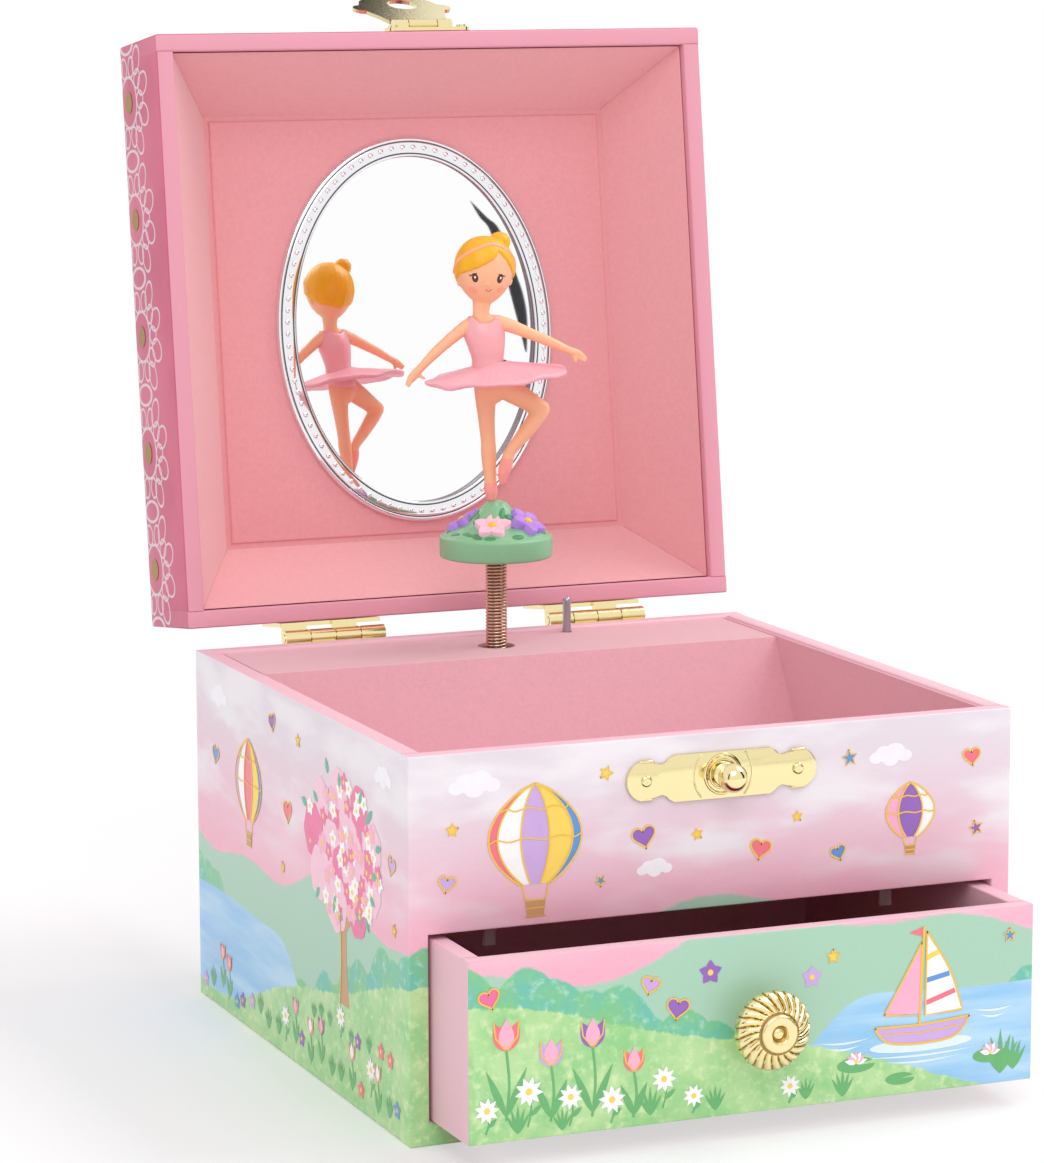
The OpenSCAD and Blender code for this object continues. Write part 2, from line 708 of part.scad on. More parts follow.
module knob_screw() {
  color([0.7, 0.7, 0.72]) {
    bar_y(knob_screw_d / 2, 0, drawer_y0 - 4.6, drawer_y0 + drawer_front_t, knob_z);
    bar_y(knob_screw_d, 0, drawer_y0 + drawer_front_t, drawer_y0 + drawer_front_t + 1.2, knob_z);
  }
}

// ---------- lid ----------
module lid_top_panel() {
  color([0.84, 0.42, 0.5]) at_lid() slab(-bx, bx, -by, by, lid_ceil, lid_top);
}

module lid_front_wall() {
  color([0.84, 0.42, 0.5]) at_lid() difference() {
    slab(-bx, bx, -by, -liy, rim_z, lid_ceil);
    for (s = [-1, 1]) bar_y(nail_d / 2, hasp_x + s * hasp_nail_x, -by - 1, -by + nail_l, hasp_nail_z);
  }
}

module lid_back_wall() {
  color([0.84, 0.42, 0.5]) at_lid() difference() {
    slab(-bx, bx, liy, by, rim_z, lid_ceil);
    for (s = [-1, 1], t = [-1, 1])
      bar_y(nail_d / 2, s * hinge_x + t * leaf_nail_x, by - nail_l, by + 1, leaf_nail_high);
  }
}

module lid_left_wall() {
  color([0.84, 0.42, 0.5]) at_lid() slab(-bx, -lix, -liy, liy, rim_z, lid_ceil);
}

module lid_right_wall() {
  color([0.84, 0.42, 0.5]) at_lid() slab(lix, bx, -liy, liy, rim_z, lid_ceil);
}

// One mitred panel of the sloped liner. hl is half the wall's length, hd its distance from the middle.
module bevel_panel(hl, hd) {
  z0 = rim_z + bevel_lip;
  prof = [[0, z0], [0, z0 + bevel_v], [bevel_run - bevel_cut, panel_z], [bevel_run, panel_z]];
  polyhedron(
    points = [for (s = [-1, 1]) for (p = prof) [s * (hl - p[0] - part_gap), -(hd - p[0]), p[1]]],
    faces = [[0, 1, 2, 3], [7, 6, 5, 4], [0, 4, 5, 1], [1, 5, 6, 2], [2, 6, 7, 3], [3, 7, 4, 0]]);
}

module lid_bevel_liner() {
  color([0.9, 0.62, 0.64]) at_lid() {
    bevel_panel(lix, liy);
    rotate([0, 0, 180]) bevel_panel(lix, liy);
    rotate([0, 0, 90]) bevel_panel(liy, lix);
    rotate([0, 0, -90]) bevel_panel(liy, lix);
  }
}

module lid_back_panel() {
  color([0.88, 0.57, 0.6]) at_lid()
    slab(-panel_hx - 0.4, panel_hx + 0.4, -panel_hy - 0.4, panel_hy + 0.4, panel_z, panel_z + back_panel_t);
}

module mirror_glass() {
  color([0.9, 0.93, 0.95]) at_lid() translate([mirror_x, mirror_y, panel_z - glass_t])
    linear_extrude(glass_t) polygon(oval(mirror_w / 2 - mirror_rim + 0.4, mirror_l / 2 - mirror_rim + 0.4));
}

// Oval moulding: a broad foot with a lip that covers the edge of the glass.
module mirror_frame() {
  a = mirror_w / 2;
  b = mirror_l / 2;
  color([0.85, 0.85, 0.87]) at_lid() translate([mirror_x, mirror_y, panel_z - mirror_rim_h]) {
    translate([0, 0, mirror_rim_h - glass_t]) linear_extrude(glass_t) difference() {
      polygon(oval(a, b));
      polygon(oval(a - mirror_rim + 0.4, b - mirror_rim + 0.4));
    }
    linear_extrude(mirror_rim_h - glass_t) difference() {
      polygon(oval(a - 0.5, b - 0.5));
      polygon(oval(a - mirror_rim, b - mirror_rim));
    }
  }
}

module hinge_lid_leaves() {
  color([0.86, 0.72, 0.42]) at_lid()
    for (s = [-1, 1]) translate([s * hinge_x, 0, 0]) hinge_leaf(1, 0, pin_d / 2 + pin_clear);
}

module lid_nails() {
  color([0.85, 0.7, 0.38]) at_lid() {
    for (s = [-1, 1]) nail(hasp_x + s * hasp_nail_x, -by, hasp_nail_z, -1);
    for (s = [-1, 1], t = [-1, 1]) nail(s * hinge_x + t * leaf_nail_x, by, leaf_nail_high, 1);
  }
}

module hasp_leaf() {
  w = hasp_leaf_w / 2;
  kx = hasp_neck_w / 2;
  kr = hasp_knuckle_d / 2;
  color([0.86, 0.72, 0.42]) at_lid() translate([hasp_x, 0, 0]) difference() {
    union() {
      translate([0, -by, 0]) rotate([90, 0, 0]) linear_extrude(brass_t) union() {
        translate([-w + 0.8, hasp_leaf_z0]) square([2 * w - 1.6, hasp_leaf_z1 - hasp_leaf_z0]);
        for (s = [-1, 1])
          translate([s * hasp_nail_x, hasp_nail_z]) circle(d = hasp_leaf_z1 - hasp_leaf_z0);
        for (s = [-1, 1]) translate([s * (kx - hasp_kw / 2) - hasp_kw / 2, hasp_leaf_z1 - 0.4])
          square([hasp_kw, hasp_z - hasp_leaf_z1 + 0.4]);
      }
      for (s = [-1, 1]) translate([s * (kx - hasp_kw / 2), 0, 0]) {
        bar_x(kr, -hasp_kw / 2, hasp_kw / 2, hasp_y, hasp_z);
        slab(-hasp_kw / 2, hasp_kw / 2, hasp_y, -by, hasp_z - kr, hasp_z - kr + brass_t);
      }
    }
    bar_x(hasp_pin_d / 2, -w, w, hasp_y, hasp_z);
    for (s = [-1, 1]) bar_y(nail_d / 2, s * hasp_nail_x, -by - 2, -by + 1, hasp_nail_z);
  }
}

module hasp_pin() {
  color([0.8, 0.66, 0.38]) at_lid() translate([hasp_x, 0, 0])
    bar_x(hasp_pin_d / 2, -hasp_neck_w / 2, hasp_neck_w / 2, hasp_y, hasp_z);
}

// Tab drawn hanging in its latched place, then folded back about its pin.
module hasp_tab() {
  kw = hasp_neck_w / 2 - hasp_kw - knuckle_gap;
  n = hasp_neck_w / 2;
  w = hasp_w / 2;
  e = hasp_end_w / 2;
  color([0.88, 0.74, 0.42]) at_lid() translate([hasp_x, hasp_y, hasp_z]) rotate([-hasp_fold, 0, 0])
    difference() {
      union() {
        bar_x(hasp_knuckle_d / 2, -kw, kw, 0, 0);
        translate([0, brass_t / 2, 0]) rotate([90, 0, 0]) linear_extrude(brass_t) difference() {
          union() {
            translate([-kw, -2.4]) square([2 * kw, 2.4]);
            polygon([[-n, -1.6], [n, -1.6], [n + 0.7, -5], [w - 2, -9], [w - 2, -13.4],
              [e + 0.4, -hasp_l + 1.6], [e - 1, -hasp_l], [1 - e, -hasp_l], [-e - 0.4, -hasp_l + 1.6],
              [2 - w, -13.4], [2 - w, -9], [-n - 0.7, -5]]);
            for (s = [-1, 1]) translate([s * (w - 2), -11.4]) circle(r = 2);
          }
          for (t = [-1, 1]) translate([latch_x - hasp_x, -hole_t - 0.1 + t * (hasp_hole_l - hasp_hole_w) / 2])
            circle(d = hasp_hole_w);
        }
      }
      bar_x(hasp_pin_d / 2 + pin_clear, -hasp_w, hasp_w, 0, 0);
    }
}

// ---------- ballerina ----------
module at_dancer() {
  translate([dancer_x, dancer_y, disc_z]) rotate([0, 0, dancer_turn]) children();
}

// Coil spring as a swept tube.
function ring(p, u, v, r, m) = [for (k = [0:m - 1]) p + r * (cos(k * 360 / m) * u + sin(k * 360 / m) * v)];
module coil(r, wire, turns, height, seg = 14, m = 6) {
  n = turns * seg;
  pts = [for (i = [0:n]) each ring([r * cos(i * 360 / seg), r * sin(i * 360 / seg), i * height / n],
    [cos(i * 360 / seg), sin(i * 360 / seg), 0], [0, 0, 1], wire / 2, m)];
  sides = [for (i = [0:n - 1]) for (k = [0:m - 1])
    [i * m + k, i * m + (k + 1) % m, (i + 1) * m + (k + 1) % m, (i + 1) * m + k]];
  polyhedron(points = pts, faces = concat(sides,
    [[for (k = [m - 1:-1:0]) k]], [[for (k = [0:m - 1]) n * m + k]]), convexity = 10);
}

module ballerina_spring() {
  lift = wire_d / 2 + spring_end_gap;
  color([0.62, 0.46, 0.36]) translate([dancer_x, dancer_y, socket_z + lift])
    coil(spring_r, wire_d, spring_turns, spring_l - 2 * lift);
}

module spring_socket() {
  color([0.95, 0.95, 0.92]) difference() {
    union() {
      bar_z(spring_d / 2 + 0.4, dancer_x, dancer_y, socket_z - 2, socket_z);
      bar_z(socket_r, dancer_x, dancer_y, socket_z - 1, socket_z + 2.2);
    }
    bar_z(arbor_r, dancer_x, dancer_y, socket_z - 3, socket_z - 0.2);
  }
}

module flower_base_solid(g = 0) {
  r = disc_d / 2 + g;
  rotate_extrude() polygon([[0, -g], [r - 0.4, -g], [r, 0.4], [r, disc_h + g], [r - 0.8, disc_h + 0.7 + g],
    [r * 0.52, mound_h - 3 + g], [r * 0.22, mound_h - 0.5 + g], [0, mound_h + g]]);
}

module flower_base() {
  color([0.5, 0.74, 0.58]) at_dancer() {
    flower_base_solid();
    translate([0, 0, -2.2]) cylinder(r = socket_r, h = 2.4);
  }
}

// Flower with round petals, lying on the mound at a bearing and a distance from its top.
module mound_flower(bearing, dist, size, lift) {
  rotate([0, 0, bearing]) translate([dist * flower_k, 0, lift * mound_h]) rotate([0, 42, 0])
    petals(size * flower_k);
}
module petals(w) {
  for (i = [0:4]) rotate([0, 0, i * 72]) translate([w * 0.55, 0, 0])
    cylinder(r = w * 0.46, h = w * 0.2, $fn = 12);
  cylinder(r = w * 0.3, h = w * 0.3, $fn = 12);
}

module base_flowers() {
  color([0.86, 0.72, 0.86]) at_dancer() difference() {
    union() {
      mound_flower(-108, 6.4, 4.1, 0.608);
      mound_flower(-34, 6.5, 3.5, 0.618);
      mound_flower(66, 6.4, 3.9, 0.608);
      mound_flower(163, 6.5, 3.5, 0.618);
    }
    flower_base_solid(part_gap);
  }
}

// Limb between two points with round ends. Its lengths are those of the reference figure.
module limb(a, b, ra, rb) {
  hull() {
    translate(a * fig_k) sphere(r = ra * fig_k, $fn = 18);
    translate(b * fig_k) sphere(r = rb * fig_k, $fn = 18);
  }
}

// The ballerina without her dress and hair, from the point of the standing toe up.
module dancer_shape() {
  translate([0, 0, mound_h]) {
    // standing leg on its toe
    limb([-2.1, 0, 21.5], [-1.35, 0, 9.65], 1.95, 1.35);
    limb([-1.35, 0, 9.65], [-0.75, 0, 3], 1.35, 1.15);
    hull() {
      translate([-0.75, 0, 3] * fig_k) sphere(r = 1.15 * fig_k, $fn = 18);
      translate([-0.6 * fig_k, 0, part_gap]) cylinder(r = 0.75 * fig_k, h = 0.6 * fig_k, $fn = 18);
    }
    // bent leg, its foot against the other shin
    limb([1.6, 0, 21], [8.9, -0.8, 17.6], 2.1, 1.6);
    limb([8.9, -0.8, 17.6], [2.6, -1.6, 9.6], 1.5, 1.2);
    limb([2.6, -1.6, 9.6], [1.1, -1.6, 3.8], 1.2, 0.7);
    // trunk, shoulders and neck
    limb([-0.8, 0, 22], [-2, 0, 33.2], 2.2, 2.2);
    limb([-4.2, 0, 34.2], [-0.2, 0, 34.5], 1.45, 1.45);
    limb([-2.7, 0, 34.4], [-2.5, 0, 38.6], 1.55, 1.5);
    // arms held out to the sides
    limb([-4.5, 0, 34.2], [-9.7, -0.6, 29.9], 1.3, 1.05);
    limb([-9.7, -0.6, 29.9], [-14.4, -1.2, 25], 1.05, 0.9);
    limb([-14.4, -1.2, 25], [-16.2, -1.3, 22.9], 0.9, 0.65);
    limb([0.3, 0, 34.5], [6.4, -0.4, 32], 1.3, 1.05);
    limb([6.4, -0.4, 32], [13.6, -0.8, 28.8], 1.05, 0.9);
    limb([13.6, -0.8, 28.8], [17, -0.9, 27.8], 0.9, 0.65);
    translate(head_c) sphere(r = head_r, $fn = 40);
  }
}

module dancer_figure() {
  color([0.96, 0.72, 0.56]) at_dancer() dancer_shape();
}

// Part of the bodice between two heights, at a sideways place and with a radius for each end.
module bodice(x0, z0, r0, x1, z1, r1) {
  hull() {
    translate([x0, 0, z0] * fig_k) cylinder(r = r0 * fig_k, h = 0.2 * fig_k, $fn = 28);
    translate([x1, 0, z1] * fig_k) cylinder(r = r1 * fig_k, h = 0.2 * fig_k, $fn = 28);
  }
}

// Leotard and tutu in one moulding round the figure.
module dancer_dress() {
  r = tutu_d / 2;
  color([0.95, 0.62, 0.7]) at_dancer() difference() {
    translate([0, 0, mound_h]) {
      translate([0, 0, 24.4 * fig_k]) rotate([0, -tutu_tilt, 0]) scale([1, 1, fig_k])
        rotate_extrude() polygon([[0, -1.1], [r * 0.3, -0.9], [r * 0.8, -0.5], [r, -0.5],
          [r, 0.4], [r * 0.8, 0.6], [r * 0.32, 0.9], [0, 1.2]]);
      bodice(-0.5, 21.9, 3, -0.8, 24, 3.7);
      bodice(-1.1, 24.6, 3.5, -1.4, 27.2, 3.1);
      bodice(-1.4, 27.2, 3.1, -1.9, 32.4, 3.8);
      bodice(-1.9, 32.4, 3.8, -2, 34.4, 3);
    }
    dancer_shape();
  }
}

// Hair over the back and crown of the head, with a bun.
module dancer_hair() {
  h = head_r;
  color([0.96, 0.76, 0.3]) at_dancer() translate([0, 0, mound_h]) difference() {
    union() {
      translate(head_c + [0, hair_t / 3, 0]) sphere(r = h + hair_t, $fn = 40);
      translate([0.8, 1.5, 49.5] * fig_k) sphere(r = h * 0.34, $fn = 32);
    }
    translate(head_c) sphere(r = h + part_gap, $fn = 40);
    translate(head_c - [0, h * 1.22, h * 0.93]) rotate([-24, 0, 0])
      cube([h * 2.6, h * 1.65, h * 2.26], center = true);
    translate(head_c - [0, 0, h * 1.26]) cube([h * 1.65, h * 1.65, h * 0.8], center = true);
  }
}

// ---------- movement ----------
module bed_screws() {
  for (p = [[-bed_screw_dx, bed_screw_z0], [bed_screw_dx, bed_screw_z0], [-bed_screw_dx, bed_screw_z1]])
    translate([dancer_x + p[0], 0, p[1]]) children();
}

module comb_screws_at() {
  for (s = [-1, 1]) translate([comb_screw_x, 0, (cyl_z0 + cyl_z1) / 2 + s * comb_screw_dz]) children();
}

// Bearing lug that stands forward from the bedplate.
module lug(x, hw, z, t, reach, bore) {
  difference() {
    slab(x - hw, x + hw, dancer_y - reach, bed_y + eps, z, z + t);
    bar_z(bore, x, dancer_y, z - 1, z + t + 1);
  }
}

module movement_frame() {
  color([0.78, 0.66, 0.42]) difference() {
    union() {
      slab(bed_x0, bed_x1, bed_y, iy, bed_z0, bed_z1);
      lug(dancer_x, 3, lug_z0, lug_t, 2.6, arbor_r + run_clear);
      lug(dancer_x, 3, top_lug_z0, lug_t, 2.6, arbor_r + run_clear);
      lug(idler_x, 2, idler_low, idler_lug_t, 2, idler_arbor_r + run_clear);
      lug(idler_x, 2, idler_high - idler_lug_t, idler_lug_t, 2, idler_arbor_r + run_clear);
      slab(comb_x0 - comb_back, comb_x0, dancer_y + comb_t / 2, bed_y + eps, cyl_z0, cyl_z1);
    }
    bar_y(wind_r + run_clear, dancer_x, bed_y - 1, iy + 1, barrel_z);
    bar_y(pivot_r + run_clear, worm_x, bed_y - 1, iy + 1, wheel_z);
    bed_screws() bar_y(screw_r, 0, bed_y - 1, iy + 1, 0);
    comb_screws_at() bar_y(screw_r, 0, dancer_y, dancer_y + 6, 0);
  }
}

// Steel comb: a plate slit into teeth that reach to the cylinder.
module comb() {
  color([0.72, 0.73, 0.75]) difference() {
    slab(comb_x0 - comb_back, comb_x1, dancer_y - comb_t / 2, dancer_y + comb_t / 2, cyl_z0, cyl_z1);
    for (i = [1:comb_n - 1])
      slab(comb_x0, comb_x1 + 1, dancer_y - comb_t, dancer_y + comb_t,
        cyl_z0 + i * comb_pitch - comb_slit / 2, cyl_z0 + i * comb_pitch + comb_slit / 2);
    comb_screws_at() bar_y(screw_r, 0, dancer_y - comb_t, dancer_y + comb_t, 0);
  }
}

// Screws through the back wall into the bedplate, and through the comb into its foot.
module movement_screws() {
  color([0.6, 0.6, 0.62]) {
    bed_screws() {
      bar_y(screw_r, 0, bed_y, by, 0);
      bar_y(screw_head_r, 0, by, by + screw_head_h, 0);
    }
    comb_screws_at() {
      bar_y(screw_r, 0, dancer_y - comb_t / 2, dancer_y + 5.5, 0);
      bar_y(screw_head_r, 0, dancer_y - comb_t / 2 - screw_head_h, dancer_y - comb_t / 2, 0);
    }
  }
}

module governor_bracket() {
  color([0.76, 0.64, 0.4]) difference() {
    union() {
      slab(bracket_x, bracket_x + 1, bracket_y, bed_y, wheel_z - 2.6, wheel_z + 2.6);
      slab(worm_x - 1.8, bracket_x + 1, bracket_y, bracket_y + 1, wheel_z - 2.6, wheel_z + 2.6);
    }
    bar_y(pivot_r + run_clear, worm_x, bracket_y - 1, bracket_y + 2, wheel_z);
  }
}

// Click that holds the winding arbor's ratchet.
module click_spring() {
  color([0.7, 0.7, 0.72]) translate([dancer_x, ratchet_y1, barrel_z]) {
    rotate([90, 0, 0]) linear_extrude(ratchet_y1 - ratchet_y0)
      polygon([[0.12, ratchet_root + 0.3], [0.75, ratchet_root + 0.32], [6.6, 8.2], [5.5, 9.4], [0.12, 5.6]]);
    translate([6, bed_y - ratchet_y1, 8.8]) rotate([90, 0, 0])
      cylinder(r = 1.2, h = bed_y - ratchet_y0);
  }
}

// Pinned cylinder, a tube closed at its upper end.
module cylinder_pin(i, j) {
  a = 137.5 * (i * 2 + j) + 20;
  translate([dancer_x, dancer_y, cyl_z0 + (i + 0.5) * comb_pitch]) rotate([0, 0, a])
    translate([cyl_r - 0.4, -0.15, -0.15]) cube([0.4 + cyl_pin_h, 0.3, 0.3]);
}

module music_cylinder() {
  color([0.82, 0.7, 0.42]) {
    difference() {
      union() {
        bar_z(cyl_r, dancer_x, dancer_y, cyl_z0, cyl_z1);
        for (i = [0:comb_n - 1], j = [0:1]) cylinder_pin(i, j);
      }
      bar_z(cyl_r - 0.8, dancer_x, dancer_y, cyl_z0 - 1, cyl_z1 - 0.8);
      bar_z(arbor_r, dancer_x, dancer_y, cyl_z0 - 1, cyl_z1 + 1);
    }
  }
}

module cylinder_gear() {
  r = cyl_gear_r;
  color([0.85, 0.74, 0.46]) translate([dancer_x, dancer_y, 0]) difference() {
    union() {
      translate([0, 0, gear_z0]) linear_extrude(gear_t)
        gear_2d(cyl_gear_n, r - 0.7, r, r + 0.45, 0.46, 0.3, 0.14);
      bar_z(2.6, 0, 0, cyl_z1, gear_z0 + eps);
    }
    bar_z(arbor_r, 0, 0, cyl_z1 - 1, gear_z0 + gear_t + 1);
  }
}

// Spindle of the cylinder, with its pinion at the foot.
module cylinder_arbor() {
  r = pinion_r;
  color([0.68, 0.69, 0.71]) {
    bar_z(arbor_r, dancer_x, dancer_y, pinion_z0, socket_z - 0.2);
    translate([dancer_x, dancer_y, pinion_z0]) linear_extrude(pinion_l)
      gear_2d(pinion_n, r - 0.85, r, r + 0.42, 0.62, 0.38, 0.16, 180 / pinion_n);
    bar_z(cyl_r - 0.8, dancer_x, dancer_y, cyl_z0, cyl_z0 + 0.8);
  }
}

// Barrel: a cup for the mainspring with crown teeth on its front.
module mainspring_barrel() {
  color([0.8, 0.68, 0.42]) translate([dancer_x, 0, barrel_z]) {
    difference() {
      bar_y(barrel_r, 0, crown_root_y, barrel_y1, 0);
      bar_y(barrel_r - barrel_t, 0, crown_root_y + barrel_t, barrel_y1 + 1, 0);
      bar_y(wind_r + run_clear, 0, crown_root_y - 1, barrel_y1, 0);
    }
    for (i = [0:crown_n - 1]) rotate([0, i * 360 / crown_n, 0])
      translate([0, 0, crown_r - 1]) linear_extrude(2) polygon([[-0.6, crown_root_y + 0.2],
        [-0.6, crown_root_y], [-0.42, mesh_y], [-0.2, crown_tip_y], [0.2, crown_tip_y],
        [0.42, mesh_y], [0.6, crown_root_y], [0.6, crown_root_y + 0.2]]);
  }
}

// Mainspring: a flat strip wound from the hub to the barrel's wall.
function spiral(r0, r1, turns, seg) = [for (i = [0:turns * seg])
  let (a = i * 360 / seg, r = r0 + (r1 - r0) * i / (turns * seg)) [r * cos(a), r * sin(a)]];
module mainspring() {
  outer = spiral(mainspring_r0 + mainspring_t, mainspring_r1, mainspring_turns, 20);
  inner = spiral(mainspring_r0, mainspring_r1 - mainspring_t, mainspring_turns, 20);
  n = len(inner);
  color([0.5, 0.52, 0.56]) translate([dancer_x, barrel_y1 - 0.6, barrel_z]) rotate([90, 0, 0])
    linear_extrude(barrel_d - barrel_t - 0.9)
      polygon(concat(outer, [for (i = [0:n - 1]) inner[n - 1 - i]]));
}

// Winding arbor with its hub and ratchet teeth.
module winding_arbor() {
  n = ratchet_n;
  color([0.66, 0.67, 0.7]) {
    bar_y(wind_r, dancer_x, crown_root_y - 0.4, key_y + 3, barrel_z);
    bar_y(hub_r, dancer_x, crown_root_y + barrel_t + 0.1, ratchet_y0 + eps, barrel_z);
    translate([dancer_x, ratchet_y1, barrel_z]) rotate([90, 0, 0])
      linear_extrude(ratchet_y1 - ratchet_y0)
        polygon([for (i = [0:n - 1]) each [for (r = [ratchet_root, ratchet_tip])
          [r * cos(90 + i * 360 / n), r * sin(90 + i * 360 / n)]]]);
  }
}

// Butterfly key on the end of the winding arbor.
module winding_key() {
  color([0.8, 0.78, 0.72]) translate([dancer_x, 0, barrel_z]) difference() {
    union() {
      bar_y(key_hub_r, 0, key_hub_y, key_y + key_hub_r / 2, 0);
      translate([0, key_y + key_wing_r - 1, -key_wing_t / 2]) linear_extrude(key_wing_t) difference() {
        union() {
          for (s = [-1, 1]) translate([s * (key_w / 2 - key_wing_r), 0]) circle(r = key_wing_r);
          square([key_w - 2 * key_wing_r, key_wing_r * 1.3], center = true);
          square([2 * key_hub_r, key_wing_r * 1.7], center = true);
        }
        for (s = [-1, 1]) translate([s * (key_w / 2 - key_wing_r), 0]) circle(r = key_wing_r * 0.52);
      }
    }
    bar_y(wind_r, 0, by, key_y + 3, 0);
  }
}

// Idler: its pinion runs on the cylinder's gear and its wheel drives the worm.
module idler_gear() {
  r = idler_r;
  color([0.84, 0.72, 0.44]) translate([idler_x, dancer_y, 0]) {
    bar_z(idler_arbor_r, 0, 0, idler_low - 0.4, idler_high + 0.2);
    translate([0, 0, gear_z0 - 0.2]) linear_extrude(gear_t + 0.4)
      gear_2d(idler_pinion_n, r - 0.68, r, r + 0.4, 0.4, 0.28, 0.12, 180 / idler_pinion_n);
    translate([0, 0, wheel_z - wheel_t / 2]) cylinder(r = worm_wheel_r - 0.66, h = wheel_t);
    for (i = [0:worm_wheel_n - 1]) rotate([0, 0, i * 360 / worm_wheel_n])
      translate([0, 0, wheel_z]) rotate([-worm_lead, 0, 0])
        translate([0, 0, -wheel_t / 2]) linear_extrude(wheel_t)
          polygon([[worm_wheel_r - 1.2, -0.6], [worm_wheel_r - 0.5, -0.56], [worm_wheel_r, -0.34],
            [worm_wheel_r + 0.34, -0.13], [worm_wheel_r + 0.34, 0.13], [worm_wheel_r, 0.34],
            [worm_wheel_r - 0.5, 0.56], [worm_wheel_r - 1.2, 0.6]]);
  }
}

// Governor: a single-start right-hand worm on its pivots.
module governor_worm() {
  color([0.7, 0.71, 0.73]) {
    bar_y(pivot_r, worm_x, bracket_y + 0.1, iy - 0.3, wheel_z);
    translate([worm_x, dancer_y - worm_l / 2, wheel_z]) rotate([-90, 0, 0])
      rotate([0, 0, -180 * worm_turns])
        linear_extrude(height = worm_l, twist = -360 * worm_turns, slices = 48)
          translate([worm_e, 0]) circle(r = worm_r, $fn = 24);
  }
}

module governor_fan() {
  color([0.9, 0.9, 0.88]) difference() {
    union() {
      bar_y(1.2, worm_x, fan_y1 - fan_w, fan_y1, wheel_z);
      slab(worm_x - fan_r, worm_x + fan_r, fan_y1 - fan_w, fan_y1, wheel_z - 0.2, wheel_z + 0.2);
    }
    bar_y(pivot_r, worm_x, fan_y1 - fan_w - 1, fan_y1 + 1, wheel_z);
  }
}

// Plunger that the closing lid presses down to stop the fan.
module stop_plunger() {
  color([0.72, 0.72, 0.74]) {
    bar_z(stop_r, stop_x, stop_y, stop_pad_z, stop_z1 - stop_r);
    translate([stop_x, stop_y, stop_z1 - stop_r]) sphere(r = stop_r);
    bar_z(stop_r + 0.9, stop_x, stop_y, stop_pad_z, stop_pad_z + 0.8);
  }
}

base_floor();
front_wall();
back_wall();
left_wall();
right_wall();
tray_floor();
rear_partition();
drawer_stops();
rear_shelf();
tray_lining();
latch_plate();
latch_stud();
base_nails();
hinge_base_leaves();
hinge_pins();
movement_frame();
comb();
movement_screws();
governor_bracket();
click_spring();
lid_top_panel();
lid_front_wall();
lid_back_wall();
lid_left_wall();
lid_right_wall();
lid_bevel_liner();
lid_back_panel();
mirror_glass();
mirror_frame();
hinge_lid_leaves();
lid_nails();
hasp_leaf();
hasp_pin();
hasp_tab();
drawer_front();
drawer_left_side();
drawer_right_side();
drawer_back();
drawer_floor();
drawer_lining();
drawer_knob();
knob_screw();
music_cylinder();
cylinder_gear();
cylinder_arbor();
spring_socket();
mainspring_barrel();
mainspring();
winding_arbor();
winding_key();
idler_gear();
governor_worm();
governor_fan();
stop_plunger();
ballerina_spring();
flower_base();
base_flowers();
dancer_figure();
dancer_dress();
dancer_hair();
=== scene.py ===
import bmesh
import bpy
import math
import random
from functools import partial
from mathutils import Matrix, Vector
from mathutils.geometry import tessellate_polygon

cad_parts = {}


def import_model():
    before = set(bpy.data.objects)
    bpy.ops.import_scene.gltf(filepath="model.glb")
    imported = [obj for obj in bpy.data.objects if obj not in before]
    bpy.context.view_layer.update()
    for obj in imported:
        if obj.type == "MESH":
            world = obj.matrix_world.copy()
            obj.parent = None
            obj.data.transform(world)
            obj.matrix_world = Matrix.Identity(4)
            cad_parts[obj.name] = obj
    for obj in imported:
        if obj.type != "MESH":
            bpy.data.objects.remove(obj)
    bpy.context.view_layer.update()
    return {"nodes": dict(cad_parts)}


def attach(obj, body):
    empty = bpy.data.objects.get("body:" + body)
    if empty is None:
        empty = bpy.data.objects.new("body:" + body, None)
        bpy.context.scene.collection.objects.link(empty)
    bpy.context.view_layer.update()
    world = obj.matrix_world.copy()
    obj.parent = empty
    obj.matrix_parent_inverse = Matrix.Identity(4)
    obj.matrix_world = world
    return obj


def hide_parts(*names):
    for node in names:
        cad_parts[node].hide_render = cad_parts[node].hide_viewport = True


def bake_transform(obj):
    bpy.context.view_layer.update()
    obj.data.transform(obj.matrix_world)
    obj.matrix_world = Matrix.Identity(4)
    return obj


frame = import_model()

NODES = frame["nodes"]
pi, tau, sin, cos, rad = math.pi, math.tau, math.sin, math.cos, math.radians

# The box's own sizes in millimetres, as the CAD has them; Blender's unit is the metre.
MM = 0.001
HALF = 57.0  # half of the box's width and depth
BASE_TOP, LID_FOOT, LID_TOP = 67.0, 67.6, 91.6
BASE_INNER, LID_INNER = 53.4, 53.5  # half widths between the walls
DRAWER_FACE, KNOB_Z = -73.3, 19.9
LATCH_X, LATCH_Z, LATCH_EAR = 0.5, 59.6, 14.3  # middle of the latch plate, and how far out its nails are
FIGURE_X, FIGURE_Y, FIGURE_TURN = -0.9, 42.0, -14
TOE_Z, SPRING_TOP = 94.6, 83.7
EDGE = 0.35  # radius of the boards' edges
SUNK = 0.16  # how far the boards' printed faces lie inside the CAD, so that raised print stays within it
FACE = HALF - SUNK
LACE_PITCH, LACE_ROW = 22.8, 4.5  # distance between the lid's lace rings, and their depth below its top

# The lid's pieces are drawn shut and turned open about the hinge.
HINGE_Y, HINGE_Z, OPEN = 60.0, 67.3, 97.6
LID = Matrix.Translation((0, HINGE_Y * MM, HINGE_Z * MM)) @ Matrix.Rotation(rad(-OPEN), 4, "X") \
    @ Matrix.Translation((0, -HINGE_Y * MM, -HINGE_Z * MM))


def angles(n):
    """n angles, evenly round a circle."""
    return [k * tau / n for k in range(n)]


